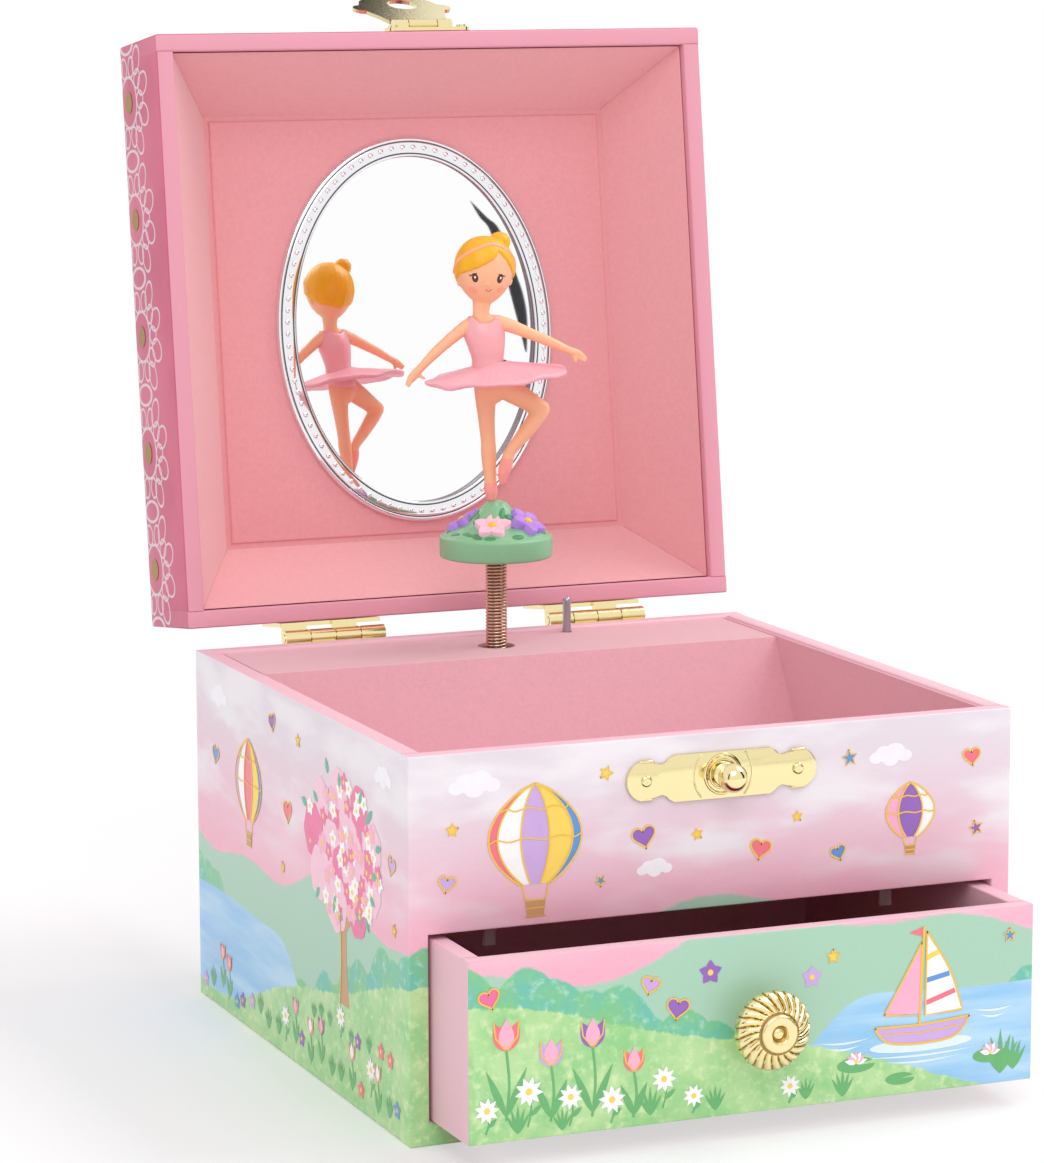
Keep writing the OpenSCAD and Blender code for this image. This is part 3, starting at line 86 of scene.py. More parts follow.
def turned(x, y, a):
    """The point (x, y) turned by the angle a."""
    return x * cos(a) - y * sin(a), x * sin(a) + y * cos(a)


# ---------- node trees: values with arithmetic ----------
def node(tree, kind, ins=(), out=0, **props):
    n = tree.nodes.new("ShaderNode" + kind)
    for k, v in props.items():
        setattr(n, k, v)
    for i, v in (ins.items() if isinstance(ins, dict) else enumerate(ins)):
        if isinstance(v, Value):
            tree.links.new(v.socket, n.inputs[i])
        elif v is not None:
            n.inputs[i].default_value = v
    return Value(tree, n.outputs[out])


def calc(op, *a):
    tree = next(x.tree for x in a if isinstance(x, Value))
    return node(tree, "Math", a, operation=op)


class Value:
    """An output socket; arithmetic on it adds Math nodes."""
    def __init__(self, tree, socket):
        self.tree, self.socket = tree, socket

    __add__ = lambda a, b: calc("ADD", a, b)
    __radd__ = lambda a, b: calc("ADD", b, a)
    __sub__ = lambda a, b: calc("SUBTRACT", a, b)
    __rsub__ = lambda a, b: calc("SUBTRACT", b, a)
    __mul__ = lambda a, b: calc("MULTIPLY", a, b)
    __rmul__ = lambda a, b: calc("MULTIPLY", b, a)
    __truediv__ = lambda a, b: calc("DIVIDE", a, b)


sine, cosine, absolute, root = (partial(calc, op) for op in ("SINE", "COSINE", "ABSOLUTE", "SQRT"))
most, power, modulo = (partial(calc, op) for op in ("MAXIMUM", "POWER", "FLOORED_MODULO"))


def ramp(x, a, b):
    """Smooth step of x from 0 at a to 1 at b."""
    return node(x.tree, "MapRange", {0: x, 1: a, 2: b, 3: 0.0, 4: 1.0}, interpolation_type="SMOOTHSTEP")


def mix(f, a, b):
    return node(f.tree, "Mix", {0: f, 6: a, 7: b}, out=2, data_type="RGBA")


def shade(colour, value):
    """A colour made lighter or darker by a factor."""
    if not isinstance(colour, Value):
        colour = colour[:3]
    return node(value.tree, "VectorMath", {0: colour, 3: value}, operation="SCALE")


def noise(tree, vec, scale, detail=2.0, rough=0.5):
    return node(tree, "TexNoise", {"Vector": vec, "Scale": scale, "Detail": detail, "Roughness": rough})


def place(tree):
    """Object coordinates in millimetres."""
    c = node(tree, "TexCoord", out=3)
    return node(tree, "VectorMath", {0: c, 3: 1000.0}, operation="SCALE")


def split(vec):
    n = vec.tree.nodes.new("ShaderNodeSeparateXYZ")
    vec.tree.links.new(vec.socket, n.inputs[0])
    return [Value(vec.tree, o) for o in n.outputs]


def join(x, y, z):
    t = next(v.tree for v in (x, y, z) if isinstance(v, Value))
    return node(t, "CombineXYZ", (x, y, z))


def printed(tree):
    """The print's own coordinates in millimetres: along the wall and up."""
    c = node(tree, "UVMap", uv_map="print")
    u, v, _ = split(node(tree, "VectorMath", {0: c, 3: 100.0}, operation="SCALE"))
    return u, v


def linear(c):
    return c / 12.92 if c <= 0.04045 else ((c + 0.055) / 1.055) ** 2.4


def rgb(*c):
    return tuple(linear(v / 255) for v in c) + (1.0,)


def material(name, colour, rough=0.5, metal=0.0, grain=0.0, grain_scale=3.0, bump=0.0, bump_scale=4.0,
             **extra):
    """Principled material. colour is red, green and blue or a function of the tree; grain varies it."""
    m = bpy.data.materials.new(name)
    m.use_nodes = True
    t = m.node_tree
    t.nodes.clear()
    b = t.nodes.new("ShaderNodeBsdfPrincipled")
    o = t.nodes.new("ShaderNodeOutputMaterial")
    t.links.new(b.outputs[0], o.inputs[0])
    base = colour(t) if callable(colour) else rgb(*colour)
    p = place(t)
    if grain:
        g = noise(t, p, grain_scale, 3.0)
        base = shade(base, 1 + (g - 0.5) * (2 * grain))
    if isinstance(base, Value):
        t.links.new(base.socket, b.inputs["Base Color"])
    else:
        b.inputs["Base Color"].default_value = base
    b.inputs["Roughness"].default_value = rough
    b.inputs["Metallic"].default_value = metal
    if bump:
        h = noise(t, p, bump_scale, 4.0, 0.6)
        n = node(t, "Bump", {"Strength": 1.0, "Distance": bump * MM, "Height": h})
        t.links.new(n.socket, b.inputs["Normal"])
    for k, v in extra.items():
        b.inputs[k.replace("_", " ").title()].default_value = v
    m.diffuse_color = base if not isinstance(base, Value) else (0.8, 0.6, 0.65, 1)
    return m


# ---------- colours of the real object ----------
def sky_and_garden(tree):
    """A generic pastel landscape: clouded sky, far hills, bushes, a pond and a meadow.

    hill, bush, pond_top and slope are heights in millimetres along the wall. What lies below one is drawn
    over what came before it.
    """
    u, z = printed(tree)
    vec = join(u, z, 0.0)
    wash = noise(tree, vec, 0.09, 4.0, 0.6)
    fine = noise(tree, vec, 0.5, 3.0, 0.6)
    cloud = noise(tree, join(u * 0.6, z * 1.7, 3.0), 0.06, 3.0, 0.5)
    sky = mix(ramp(z, 28.0, 66.0), rgb(243, 172, 194), rgb(226, 214, 223))
    sky = mix(ramp(cloud, 0.44, 0.66) * ramp(z, 30.0, 50.0), sky, rgb(238, 231, 236))
    sky = mix(ramp(wash, 0.5, 0.75) * ramp(z, 64.0, 40.0) * 0.6, sky, rgb(247, 190, 207))
    hill = 34 + 3.5 * sine(u * 0.061 + 1.0) + 2.0 * sine(u * 0.137 + 2.2) + (fine - 0.5) * 1.0
    col = mix(ramp(z - hill, -0.35, 0.35), rgb(168, 206, 182), sky)
    bump = absolute(sine(u * 0.21 + 0.6)) * 3.2 + absolute(sine(u * 0.33)) * 1.6
    bush = 21 + 9 * sine(u * 0.045 + 3.9) + bump + (fine - 0.5) * 1.4
    leaf = mix(ramp(wash, 0.35, 0.65), rgb(104, 190, 172), rgb(132, 198, 128))
    leaf = mix(ramp(fine, 0.5, 0.8), leaf, rgb(176, 222, 196))
    col = mix(ramp(z - bush, -0.3, 0.3), leaf, col)
    shore = ramp(sine(u * 0.0275 - 0.15), 0.55, 0.02)
    pond_top = 22.5 + 0.5 * sine(u * 0.11) - 10 * shore * shore
    gleam = ramp(noise(tree, join(u * 0.3, z * 2.0, 0.0), 0.12, 3.0), 0.35, 0.7)
    water = mix(gleam, rgb(146, 198, 238), rgb(186, 220, 244))
    col = mix(ramp(pond_top - z, -0.2, 0.2), col, water)
    slope = 15 - 11 * sine(u * 0.0275 - 0.15) + 1.5 * sine(u * 0.09) + (fine - 0.5) * 1.6
    grass = mix(ramp(wash, 0.3, 0.7), rgb(190, 224, 160), rgb(144, 206, 134))
    grass = mix(ramp(fine, 0.45, 0.8), grass, rgb(216, 236, 180))
    col = mix(ramp(slope - z, -0.25, 0.25), col, grass)
    return shade(col, 1 + (noise(tree, vec, 1.6, 3.0) - 0.5) * 0.05)


def lace(tree):
    """Rose ground with a border of white lace rings along the lid's upper edge."""
    u, t = printed(tree)
    half = LACE_PITCH / 2
    s = modulo(u + half, LACE_PITCH) - half
    q = t - LACE_ROW
    r = root(s * s + q * q)
    ang = calc("ARCTAN2", s, q)

    def line(d, w):
        return ramp(absolute(d), w, w * 0.55)

    def loops(n, centre, radial, across, w, turn=0.0):
        a = modulo(ang + (pi / n + turn), tau / n) - pi / n
        x, y = (r * cosine(a) - centre) / radial, r * sine(a) / across
        return line(root(x * x + y * y) - 1.0, w / radial)

    white = most(line(r - 4.9, 0.34), loops(10, 7.1, 2.0, 1.7, 0.32))
    outer = loops(10, 9.6, 2.9, 2.1, 0.38, pi / 10) * ramp(absolute(q), 2.2, 2.8)
    gaps = line(root(power(absolute(s) - half, 2.0) + power(q * 0.5, 2.0)) - 2.0, 0.36)
    white = most(white, most(outer, gaps))
    inside = ramp(t, -16.0, -15.4)
    rose = mix(ramp(noise(tree, place(tree), 0.05, 3.0), 0.3, 0.7), rgb(198, 80, 113), rgb(212, 97, 128))
    return mix(white * inside, rose, rgb(222, 197, 206))


paper = dict(rough=0.5, grain=0.02, bump=0.03, bump_scale=2.5)
velour = dict(rough=0.9, grain=0.07, grain_scale=1.1, bump=0.10, bump_scale=5.0, sheen_weight=0.5,
              sheen_roughness=0.45)
groove = dict(metal=1.0, grain=0.1, grain_scale=2.0)
LOOKS = {
    "print": dict(name="printed_satin_paper", colour=sky_and_garden, rough=0.36, grain=0.02,
                  coat_weight=0.15, coat_roughness=0.3),
    "lid_print": dict(name="rose_printed_paper", colour=lace, rough=0.4, coat_weight=0.1,
                      coat_roughness=0.3),
    "rim": dict(name="pale_pink_paper", colour=(232, 187, 199), **paper),
    "lid_rim": dict(name="bright_pink_paper", colour=(227, 155, 172), **paper),
    "underside": dict(name="underside_paper", colour=(244, 196, 208), rough=0.6, grain=0.03),
    "raw": dict(name="raw_fibreboard", colour=(176, 140, 104), rough=0.85, grain=0.12, grain_scale=2.0,
                bump=0.08),
    "velour": dict(name="salmon_velour", colour=(234, 160, 165), **velour),
    "tray_velour": dict(name="rose_velour", colour=(226, 166, 177), **velour),
    "bevel_velour": dict(name="pale_salmon_velour", colour=(236, 168, 172), **velour),
    "dark": dict(name="maroon_flock_paper", colour=(178, 68, 74), rough=0.95, grain=0.1, bump=0.06),
    "brass": dict(name="pale_gold_plate", colour=(242, 226, 172), rough=0.12, metal=1.0, grain=0.03,
                  bump=0.01, bump_scale=1.5),
    "brass_groove": dict(name="gold_plate_in_grooves", colour=(170, 132, 72), rough=0.3, **groove),
    "chrome_groove": dict(name="moulding_in_grooves", colour=(120, 118, 124), rough=0.25, **groove),
    "mirror": dict(name="silvered_mirror", colour=(253, 253, 254), rough=0.015, metal=1.0),
    "chrome": dict(name="metallised_moulding", colour=(240, 240, 243), rough=0.05, metal=1.0, grain=0.01,
                   bump=0.002, bump_scale=0.6),
    "steel": dict(name="plain_steel", colour=(176, 178, 182), rough=0.3, metal=1.0, grain=0.03),
    "movement": dict(name="movement_brass", colour=(206, 174, 106), rough=0.3, metal=1.0, grain=0.04),
    "copper": dict(name="copper_wire", colour=(208, 176, 154), rough=0.22, metal=1.0, grain=0.04),
    "white_plastic": dict(name="white_plastic", colour=(236, 236, 230), rough=0.4, grain=0.02),
    "clear": dict(name="clear_plastic", colour=(236, 236, 236), rough=0.25, transmission_weight=0.7),
    "key": dict(name="nickel_plate", colour=(206, 202, 192), rough=0.3, metal=1.0, grain=0.03),
}
mats = {key: material(**look) for key, look in LOOKS.items()}

# the figure's and the flowers' paints: colour, roughness, grain and the grain's scale
PAINTS = {
    "mint": ((134, 190, 146), 0.42, 0.06, 0.6), "leaf": ((70, 150, 96), 0.42, 0.1, 1.2),
    "petal_pink": ((247, 196, 214), 0.42, 0.06, 1.0), "petal_purple": ((178, 136, 226), 0.42, 0.08, 1.0),
    "yellow": ((248, 196, 40), 0.42, 0.06, 2.0), "peach": ((250, 186, 146), 0.45, 0.03, 0.3),
    "rose": ((250, 160, 150), 0.42, 0.02, 3.0), "pink": ((241, 171, 177), 0.34, 0.02, 3.0),
    "light_pink": ((243, 172, 183), 0.4, 0.02, 3.0), "golden": ((242, 174, 6), 0.36, 0.05, 0.7),
    "peach_band": ((253, 176, 140), 0.4, 0.02, 3.0), "eye_brown": ((84, 44, 28), 0.25, 0.05, 3.0),
    "eye_white": ((250, 246, 240), 0.25, 0.01, 3.0), "smile": ((206, 104, 84), 0.4, 0.02, 3.0),
    "blush": ((250, 168, 136), 0.45, 0.03, 3.0),
}
FINISH = {"peach": dict(subsurface_weight=0.08, subsurface_scale=0.001),
          "pink": dict(coat_weight=0.2, coat_roughness=0.2)}
for key, (colour, rough, grain, scale) in PAINTS.items():
    mats[key] = material(key + "_paint", colour, rough, grain=grain, grain_scale=scale,
                         **FINISH.get(key, {}))

# the print's inks, and two gold foils
INKS = {"white": (252, 250, 250), "white_soft": (226, 240, 250), "cloud": (246, 240, 246),
        "pink": (250, 176, 202), "pink_soft": (248, 196, 214), "deep_pink": (238, 110, 158),
        "coral": (246, 116, 132), "lilac": (206, 170, 226), "purple": (150, 100, 190),
        "yellow": (252, 214, 90), "green": (104, 178, 110), "teal": (92, 178, 150), "blue": (96, 150, 220),
        "tan": (202, 150, 104)}
for key, colour in INKS.items():
    mats["ink_" + key] = material("ink_" + key, colour, 0.36, grain=0.07, grain_scale=0.35, coat_weight=0.15,
                                  coat_roughness=0.3)
for key, colour in {"gold": (242, 196, 84), "old_gold": (168, 126, 62)}.items():
    mats["ink_" + key] = material(f"ink_{key}_foil", colour, 0.35, 0.7, grain=0.06)
mats["card"] = material("black_card", (40, 40, 42), 0.9, grain=0.05)


# ---------- meshes, drawn in millimetres ----------
def at(x=0, y=0, z=0, rx=0, rz=0):
    """Place: turned by degrees about X, then Z, and moved, in millimetres."""
    m = Matrix.Translation(Vector((x, y, z)) * MM) @ Matrix.Rotation(rad(rz), 4, "Z")
    return m @ Matrix.Rotation(rad(rx), 4, "X")


def from_bmesh(name, bm, looks, body, matrix=None, replaces=(), slot=None, smooth=35):
    """Turns a mesh in millimetres into a piece that rides a body; looks are the materials' keys."""
    for v in bm.verts:
        v.co *= MM
    bmesh.ops.recalc_face_normals(bm, faces=bm.faces)
    me = bpy.data.meshes.new(name)
    bm.to_mesh(me)
    bm.free()
    for key in looks.split():
        me.materials.append(mats[key])
    if smooth:
        for p in me.polygons:
            p.use_smooth = True
        if smooth < 180:
            me.set_sharp_from_angle(angle=rad(smooth))
    ob = bpy.data.objects.new(name, me)
    bpy.context.scene.collection.objects.link(ob)
    if matrix is not None:
        ob.matrix_world = matrix
    bpy.context.view_layer.update()
    if body:
        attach(ob, body)
    if replaces:
        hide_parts(*replaces)
    return ob


def new_mesh(verts, faces):
    bm = bmesh.new()
    vs = [bm.verts.new(v) for v in verts]
    for f in faces:
        bm.faces.new([vs[i] for i in f])
    bmesh.ops.recalc_face_normals(bm, faces=bm.faces)
    bm.normal_update()
    return bm


DIRS = {s + a: Vector([w * (a == b) for b in "xyz"]) for a in "xyz" for s, w in (("-", -1), ("+", 1))}


def round_edges(bm, pairs, r, segments=3):
    """Rounds the edges between faces that point the two ways of each pair, such as "-x+z"."""
    ways = [(DIRS[p[:2]], DIRS[p[2:]]) for p in pairs.split()]
    ways += [(n, m) for m, n in ways]
    edges = []
    for e in bm.edges:
        if len(e.link_faces) == 2:
            a, b = (f.normal for f in e.link_faces)
            if any(a.dot(m) > 0.99 and b.dot(n) > 0.99 for m, n in ways):
                edges.append(e)
    if edges:
        bmesh.ops.bevel(bm, geom=edges, offset=r, segments=segments, affect="EDGES", profile=0.5)


def paint(bm, by_way, default, uv=None):
    """Material index by the way a face points, and the print's coordinates for the faces that carry it."""
    layer = bm.loops.layers.uv.new("print")
    bm.normal_update()
    for f in bm.faces:
        best, way = 0.6, None
        for k in by_way:
            d = f.normal.dot(DIRS[k])
            if d > best + 1e-4:
                best, way = d, k
        f.material_index = by_way[way] if way else default
        for loop in f.loops:
            if uv:
                p = uv(way, loop.vert.co)
                loop[layer].uv = (p[0] / 100, p[1] / 100)


def wall_uv(way, p):
    """Distance along the walls from the middle of the front, and the height."""
    along = {"-x": -2 * HALF - p.y, "+x": 2 * HALF + p.y, "+y": 4 * HALF - p.x}
    return along.get(way, p.x), p.z


def lid_uv(way, p):
    """Distance along the lid's edge, and the distance down from its upper edge."""
    if way in ("-x", "+x"):
        return p.y, LID_TOP - p.z
    if way in ("-y", "+y"):
        return p.x, LID_TOP - p.z
    dx, dy = HALF - abs(p.x), HALF - abs(p.y)
    return (p.y, -dx) if dx < dy else (p.x, -dy)


def box_bm(lo, hi):
    (x0, y0, z0), (x1, y1, z1) = lo, hi
    verts = [(x, y, z) for x in (x0, x1) for y in (y0, y1) for z in (z0, z1)]
    return new_mesh(verts, [(0, 1, 3, 2), (4, 6, 7, 5), (0, 4, 5, 1), (2, 3, 7, 6), (0, 2, 6, 4),
                            (1, 5, 7, 3)])


def board(name, lo, hi, round_at, by_way, looks, body, uv=None, matrix=None, r=EDGE, default=0, slot=None):
    """Box with rounded edges in place of the node of the same name."""
    bm = box_bm(lo, hi)
    round_edges(bm, round_at, r)
    paint(bm, by_way, default, uv)
    from_bmesh("vis_" + name, bm, looks, body, matrix, (name,), slot, smooth=60)


def walls():
    inner = BASE_INNER
    printed_outside = dict(looks="print rim underside", body="base", slot="printed_board")
    corners = [(-FACE, 0), (FACE, 0), (FACE, BASE_TOP), (-FACE, BASE_TOP)]
    # front wall, with the drawer opening
    wide, low, high = 53.3, 4.0, 36.4
    opening = [(-wide, low), (wide, low), (wide, high), (-wide, high)]
    faces = []
    for k in range(4):
        j = (k + 1) % 4
        faces += [(k, j, 4 + j, 4 + k), (8 + j, 8 + k, 12 + k, 12 + j), (j, k, 8 + k, 8 + j),
                  (4 + k, 4 + j, 12 + j, 12 + k)]
    bm = new_mesh([(x, y, z) for y in (-FACE, -inner) for x, z in corners + opening], faces)
    round_edges(bm, "-x-y +x-y -y+z +y+z -y-z", EDGE)
    paint(bm, {"-y": 0, "-x": 0, "+x": 0, "+z": 1, "-z": 2, "+y": 2}, 1, wall_uv)
    for f in bm.faces:
        c = f.calc_center_median()
        sill = abs(f.normal.z) > 0.9 and low - 0.5 < c.z < high + 0.5
        if sill or (abs(f.normal.x) > 0.9 and abs(c.x) < wide + 1):
            f.material_index = 1
    from_bmesh("vis_front_wall", bm, replaces=("front_wall",), smooth=60, **printed_outside)
    sides = dict(uv=wall_uv, default=2, **printed_outside)
    board("left_wall", (-FACE, -inner, 0), (-inner, inner, BASE_TOP), "-x+z +x+z -x-z",
          {"-x": 0, "+z": 1, "+x": 1}, **sides)
    board("right_wall", (inner, -inner, 0), (FACE, inner, BASE_TOP), "-x+z +x+z +x-z",
          {"+x": 0, "+z": 1, "-x": 1}, **sides)
    # back wall, with the key hole; its circle's quarters start at 225, 315, 45 and 135 degrees
    hole_x, hole_z, hole_r = -0.9, 17.5, 4.2
    n, quarter = 40, 10
    hole = [(hole_x + hole_r * cos(a), hole_z + hole_r * sin(a)) for a in angles(n)]
    faces = []
    for first in (0, 4 + n):
        for k in range(4):
            part = [first + 4 + (5 * n // 8 + k * quarter + j) % n for j in range(quarter + 1)]
            faces.append([first + k, first + (k + 1) % 4] + part[::-1])
    for first, count in ((0, 4), (4, n)):
        for k in range(count):
            a, b = first + k, first + (k + 1) % count
            faces.append([a, b, 4 + n + b, 4 + n + a])
    bm = new_mesh([(x, y, z) for y in (inner, FACE) for x, z in corners + hole], faces)
    round_edges(bm, "-x+y +x+y +y+z -y+z +y-z", EDGE)
    paint(bm, {"+y": 0, "-x": 0, "+x": 0, "+z": 1}, 2, wall_uv)
    from_bmesh("vis_back_wall", bm, replaces=("back_wall",), smooth=60, **printed_outside)


def drawer():
    half, z0, z1 = 52.7, 4.3, 35.5
    side, rear = 3.2, 3.0  # thickness of the side boards and of the back board
    front, back = DRAWER_FACE + 3.4, 9.3
    board("drawer_front", (-half, DRAWER_FACE + SUNK, z0), (half, front, z1), "-x-y +x-y -y+z -y-z +y+z",
          {"-y": 0, "+z": 1, "-x": 1, "+x": 1}, "print rim dark", "drawer", wall_uv, default=2,
          slot="printed_board")
    plain = dict(by_way={"+z": 0}, looks="rim", body="drawer", slot="pink_board")
    for name, a, b in (("left", -half, side - half), ("right", half - side, half)):
        board(f"drawer_{name}_side", (a, front, z0), (b, back, z1), "-x+z +x+z", r=0.3, **plain)
    board("drawer_back", (-half, back, z0), (half, back + rear, z1), "-y+z +y+z", r=0.3, **plain)


def lid():
    inner, seam = LID_INNER, 88.1
    kw = dict(looks="lid_print lid_rim", body="lid", uv=lid_uv, matrix=LID, slot="lid_board", default=1)
    board("lid_front_wall", (-FACE, -FACE, LID_FOOT), (FACE, -inner, seam), "-x-y +x-y -y-z +y-z",
          {"-y": 0, "-x": 0, "+x": 0}, **kw)
    board("lid_back_wall", (-FACE, inner, LID_FOOT), (FACE, FACE, seam), "-x+y +x+y +y-z -y-z",
          {"+y": 0, "-x": 0, "+x": 0}, **kw)
    board("lid_left_wall", (-FACE, -inner, LID_FOOT), (-inner, inner, seam), "-x-z +x-z", {"-x": 0}, **kw)
    board("lid_right_wall", (inner, -inner, LID_FOOT), (FACE, inner, seam), "+x-z -x-z", {"+x": 0}, **kw)
    board("lid_top_panel", (-FACE, -FACE, seam), (FACE, FACE, LID_TOP - SUNK),
          "-x-y +x-y -x+y +x+y -x+z +x+z -y+z +y+z", {"+z": 0, "-y": 0, "+y": 0, "-x": 0, "+x": 0}, **kw)


walls()
drawer()
lid()


# ---------- builders of rounded forms, in millimetres ----------
def curve(points, steps):
    """Smooth curve through the points (Catmull-Rom), in steps per span, for tuples of any length."""
    out = []
    last = len(points) - 1
    for k in range(last):
        span = list(zip(points[max(k - 1, 0)], points[k], points[k + 1], points[min(k + 2, last)]))
        for t in (j / steps for j in range(steps)):
            out.append(tuple(0.5 * (2 * b + (c - a) * t + (2 * a - 5 * b + 4 * c - d) * t * t
                                    + (3 * b - a - 3 * c + d) * t ** 3) for a, b, c, d in span))
    out.append(tuple(points[last]))
    return out


def between(x, table):
    """Value of a table of (x, value) pairs at x, joined by straight lines."""
    for (a, u), (b, v) in zip(table, table[1:]):
        if x <= b:
            return u + (v - u) * max(0.0, (x - a) / (b - a))
    return table[-1][1]


def skin_rings(bm, rings, closed=False, caps=True):
    """Faces between rings of points; the ends are closed by one face each."""
    rows = [[bm.verts.new(p) for p in ring] for ring in rings]
    n = len(rows[0])
    for a, b in zip(rows, rows[1:] + ([rows[0]] if closed else [])):
        for k in range(n):
            bm.faces.new((a[k], a[(k + 1) % n], b[(k + 1) % n], b[k]))
    if caps and not closed:
        bm.faces.new(rows[0][::-1])
        bm.faces.new(rows[-1])


def ringed(rows, n, point):
    """A ring of n points for each row of values: point takes an angle and the row's values."""
    return [[point(a, *row) for a in angles(n)] for row in rows]


def skinned(rings, **how):
    bm = bmesh.new()
    skin_rings(bm, rings, **how)
    return bm


def tube(bm, path, sides=20, flat=1.0, closed=False):
    """Round tube along (x, y, z, radius) points, with round ends; flat makes it thinner along Y."""
    pts = [(Vector(p[:3]), p[3]) for p in path]
    if not closed:
        for end, other in ((0, 1), (-1, -2)):
            c, r = pts[end]
            way = (c - pts[other][0]).normalized()
            cap = [(c + way * (r * sin(a)), r * cos(a)) for a in (0.4, 0.8, 1.15, 1.42)]
            pts = cap[::-1] + pts if end == 0 else pts + cap
    n = len(pts)
    normal = None
    rings = []
    for k, (c, r) in enumerate(pts):
        ahead, behind = ((k + 1) % n, k - 1) if closed else (min(k + 1, n - 1), max(k - 1, 0))
        way = (pts[ahead][0] - pts[behind][0]).normalized()
        if normal is None:
            normal = way.orthogonal().normalized()
        normal = (normal - way * normal.dot(way)).normalized()
        side = way.cross(normal)
        ring = [normal * (r * cos(a)) + side * (r * sin(a)) for a in angles(sides)]
        rings.append([c + Vector((d.x, d.y * flat, d.z)) for d in ring])
    skin_rings(bm, rings, closed=closed)


def shift(bm, offset, angle, axis):
    """Turns a mesh about an axis, then moves it."""
    matrix = Matrix.Translation(offset) @ Matrix.Rotation(angle, 4, axis)
    bmesh.ops.transform(bm, matrix=matrix, verts=bm.verts)


def lathe(profile, sides=96, wobble=lambda r, z, a: (r, z)):
    """Turned solid from (radius, height) points; wobble changes a point by its angle."""
    def point(a, r, z):
        r, z = wobble(r, z, a)
        return r * cos(a), r * sin(a), z
    return skinned(ringed(profile, sides, point))


def remeshed(bm, voxel, smooth):
    """One skin over overlapping forms: voxel remesh, then a few rounds of smoothing."""
    me = bpy.data.meshes.new("forms")
    bmesh.ops.recalc_face_normals(bm, faces=bm.faces)
    bm.to_mesh(me)
    bm.free()
    ob = bpy.data.objects.new("forms", me)
    bpy.context.scene.collection.objects.link(ob)
    mod = ob.modifiers.new("skin", "REMESH")
    mod.mode, mod.voxel_size = "VOXEL", voxel
    soft = ob.modifiers.new("soft", "SMOOTH")
    soft.factor, soft.iterations = 0.5, smooth
    bpy.context.view_layer.update()
    done = bmesh.new()
    done.from_object(ob, bpy.context.evaluated_depsgraph_get())
    bpy.data.objects.remove(ob)
    return done


# ---------- the lid's lining and mirror, drawn shut with the mirror facing down ----------
PANEL_Z, PANEL_HALF = 85.6, 42.7  # underside of the lid's panel, and its half width
CARD = 0.4  # how far the raised card stands out of the panel
OVAL_X, OVAL_Y, OVAL_A, OVAL_B = -0.6, 0.8, 29.4, 38.4  # middle and half sizes of the mirror's moulding
GLASS_INSET = 3.7
GLASS_UP, GLASS_SKEW_U, GLASS_SKEW_V, GLASS_BOW = 1.25, -0.018, -0.016, 1 / 2400
LINING = dict(body="lid", matrix=LID, slot="velour")
TRIM = dict(body="lid", matrix=LID, slot="chrome_trim")


def oval(t, inset):
    """Point of the mirror's outline at an angle, moved in."""
    n = Vector((cos(t) / OVAL_A, sin(t) / OVAL_B)).normalized()
    return Vector((OVAL_X + OVAL_A * cos(t) - n.x * inset, OVAL_Y + OVAL_B * sin(t) - n.y * inset))


def lining():
    """Four sloped cards with soft edges, and the raised card that holds the mirror."""
    gap, run, thick, inner = 0.22, 11.0, 2.2, LID_INNER
    foot = LID_FOOT + 1.0
    section = [(gap, foot + 0.6), (gap + 0.2, foot + 0.68), (run - 0.1, PANEL_Z - 0.14),
               (run, PANEL_Z - 0.02), (gap, foot + thick)]
    faces = [(0, 1, 2, 3, 4), (9, 8, 7, 6, 5)] + [(k, 5 + k, 5 + (k + 1) % 5, (k + 1) % 5) for k in range(5)]
    for name, turn in (("front", 0), ("right", 90), ("back", 180), ("left", 270)):
        bm = new_mesh([(s * (inner - p - 0.03), -(inner - p), z) for s in (-1, 1) for p, z in section],
                      faces)
        shift(bm, (0, 0, 0), rad(turn), "Z")
        from_bmesh(f"vis_lid_bevel_{name}", bm, "bevel_velour", replaces=("lid_bevel_liner",), smooth=30,
                   **LINING)
    bm = box_bm((-PANEL_HALF, -PANEL_HALF, PANEL_Z), (PANEL_HALF, PANEL_HALF, PANEL_Z + 1.6))
    from_bmesh("vis_lid_back_panel", bm, "velour", replaces=("lid_back_panel",), smooth=0, **LINING)
    # raised card with an oval cut-out under the mirror
    def on_square(a, half, down):
        r = half / max(abs(cos(a)), abs(sin(a)))
        return r * cos(a), r * sin(a), PANEL_Z - down
    rows = ringed(((41.4, 0.0), (41.4, 0.2), (41.28, 0.34), (41.0, CARD)), 96, on_square)
    rows.append([(*oval(a, 1.5), PANEL_Z - CARD) for a in angles(96)])
    from_bmesh("vis_lid_back_card", skinned(rows, caps=False), "velour", smooth=60, **LINING)


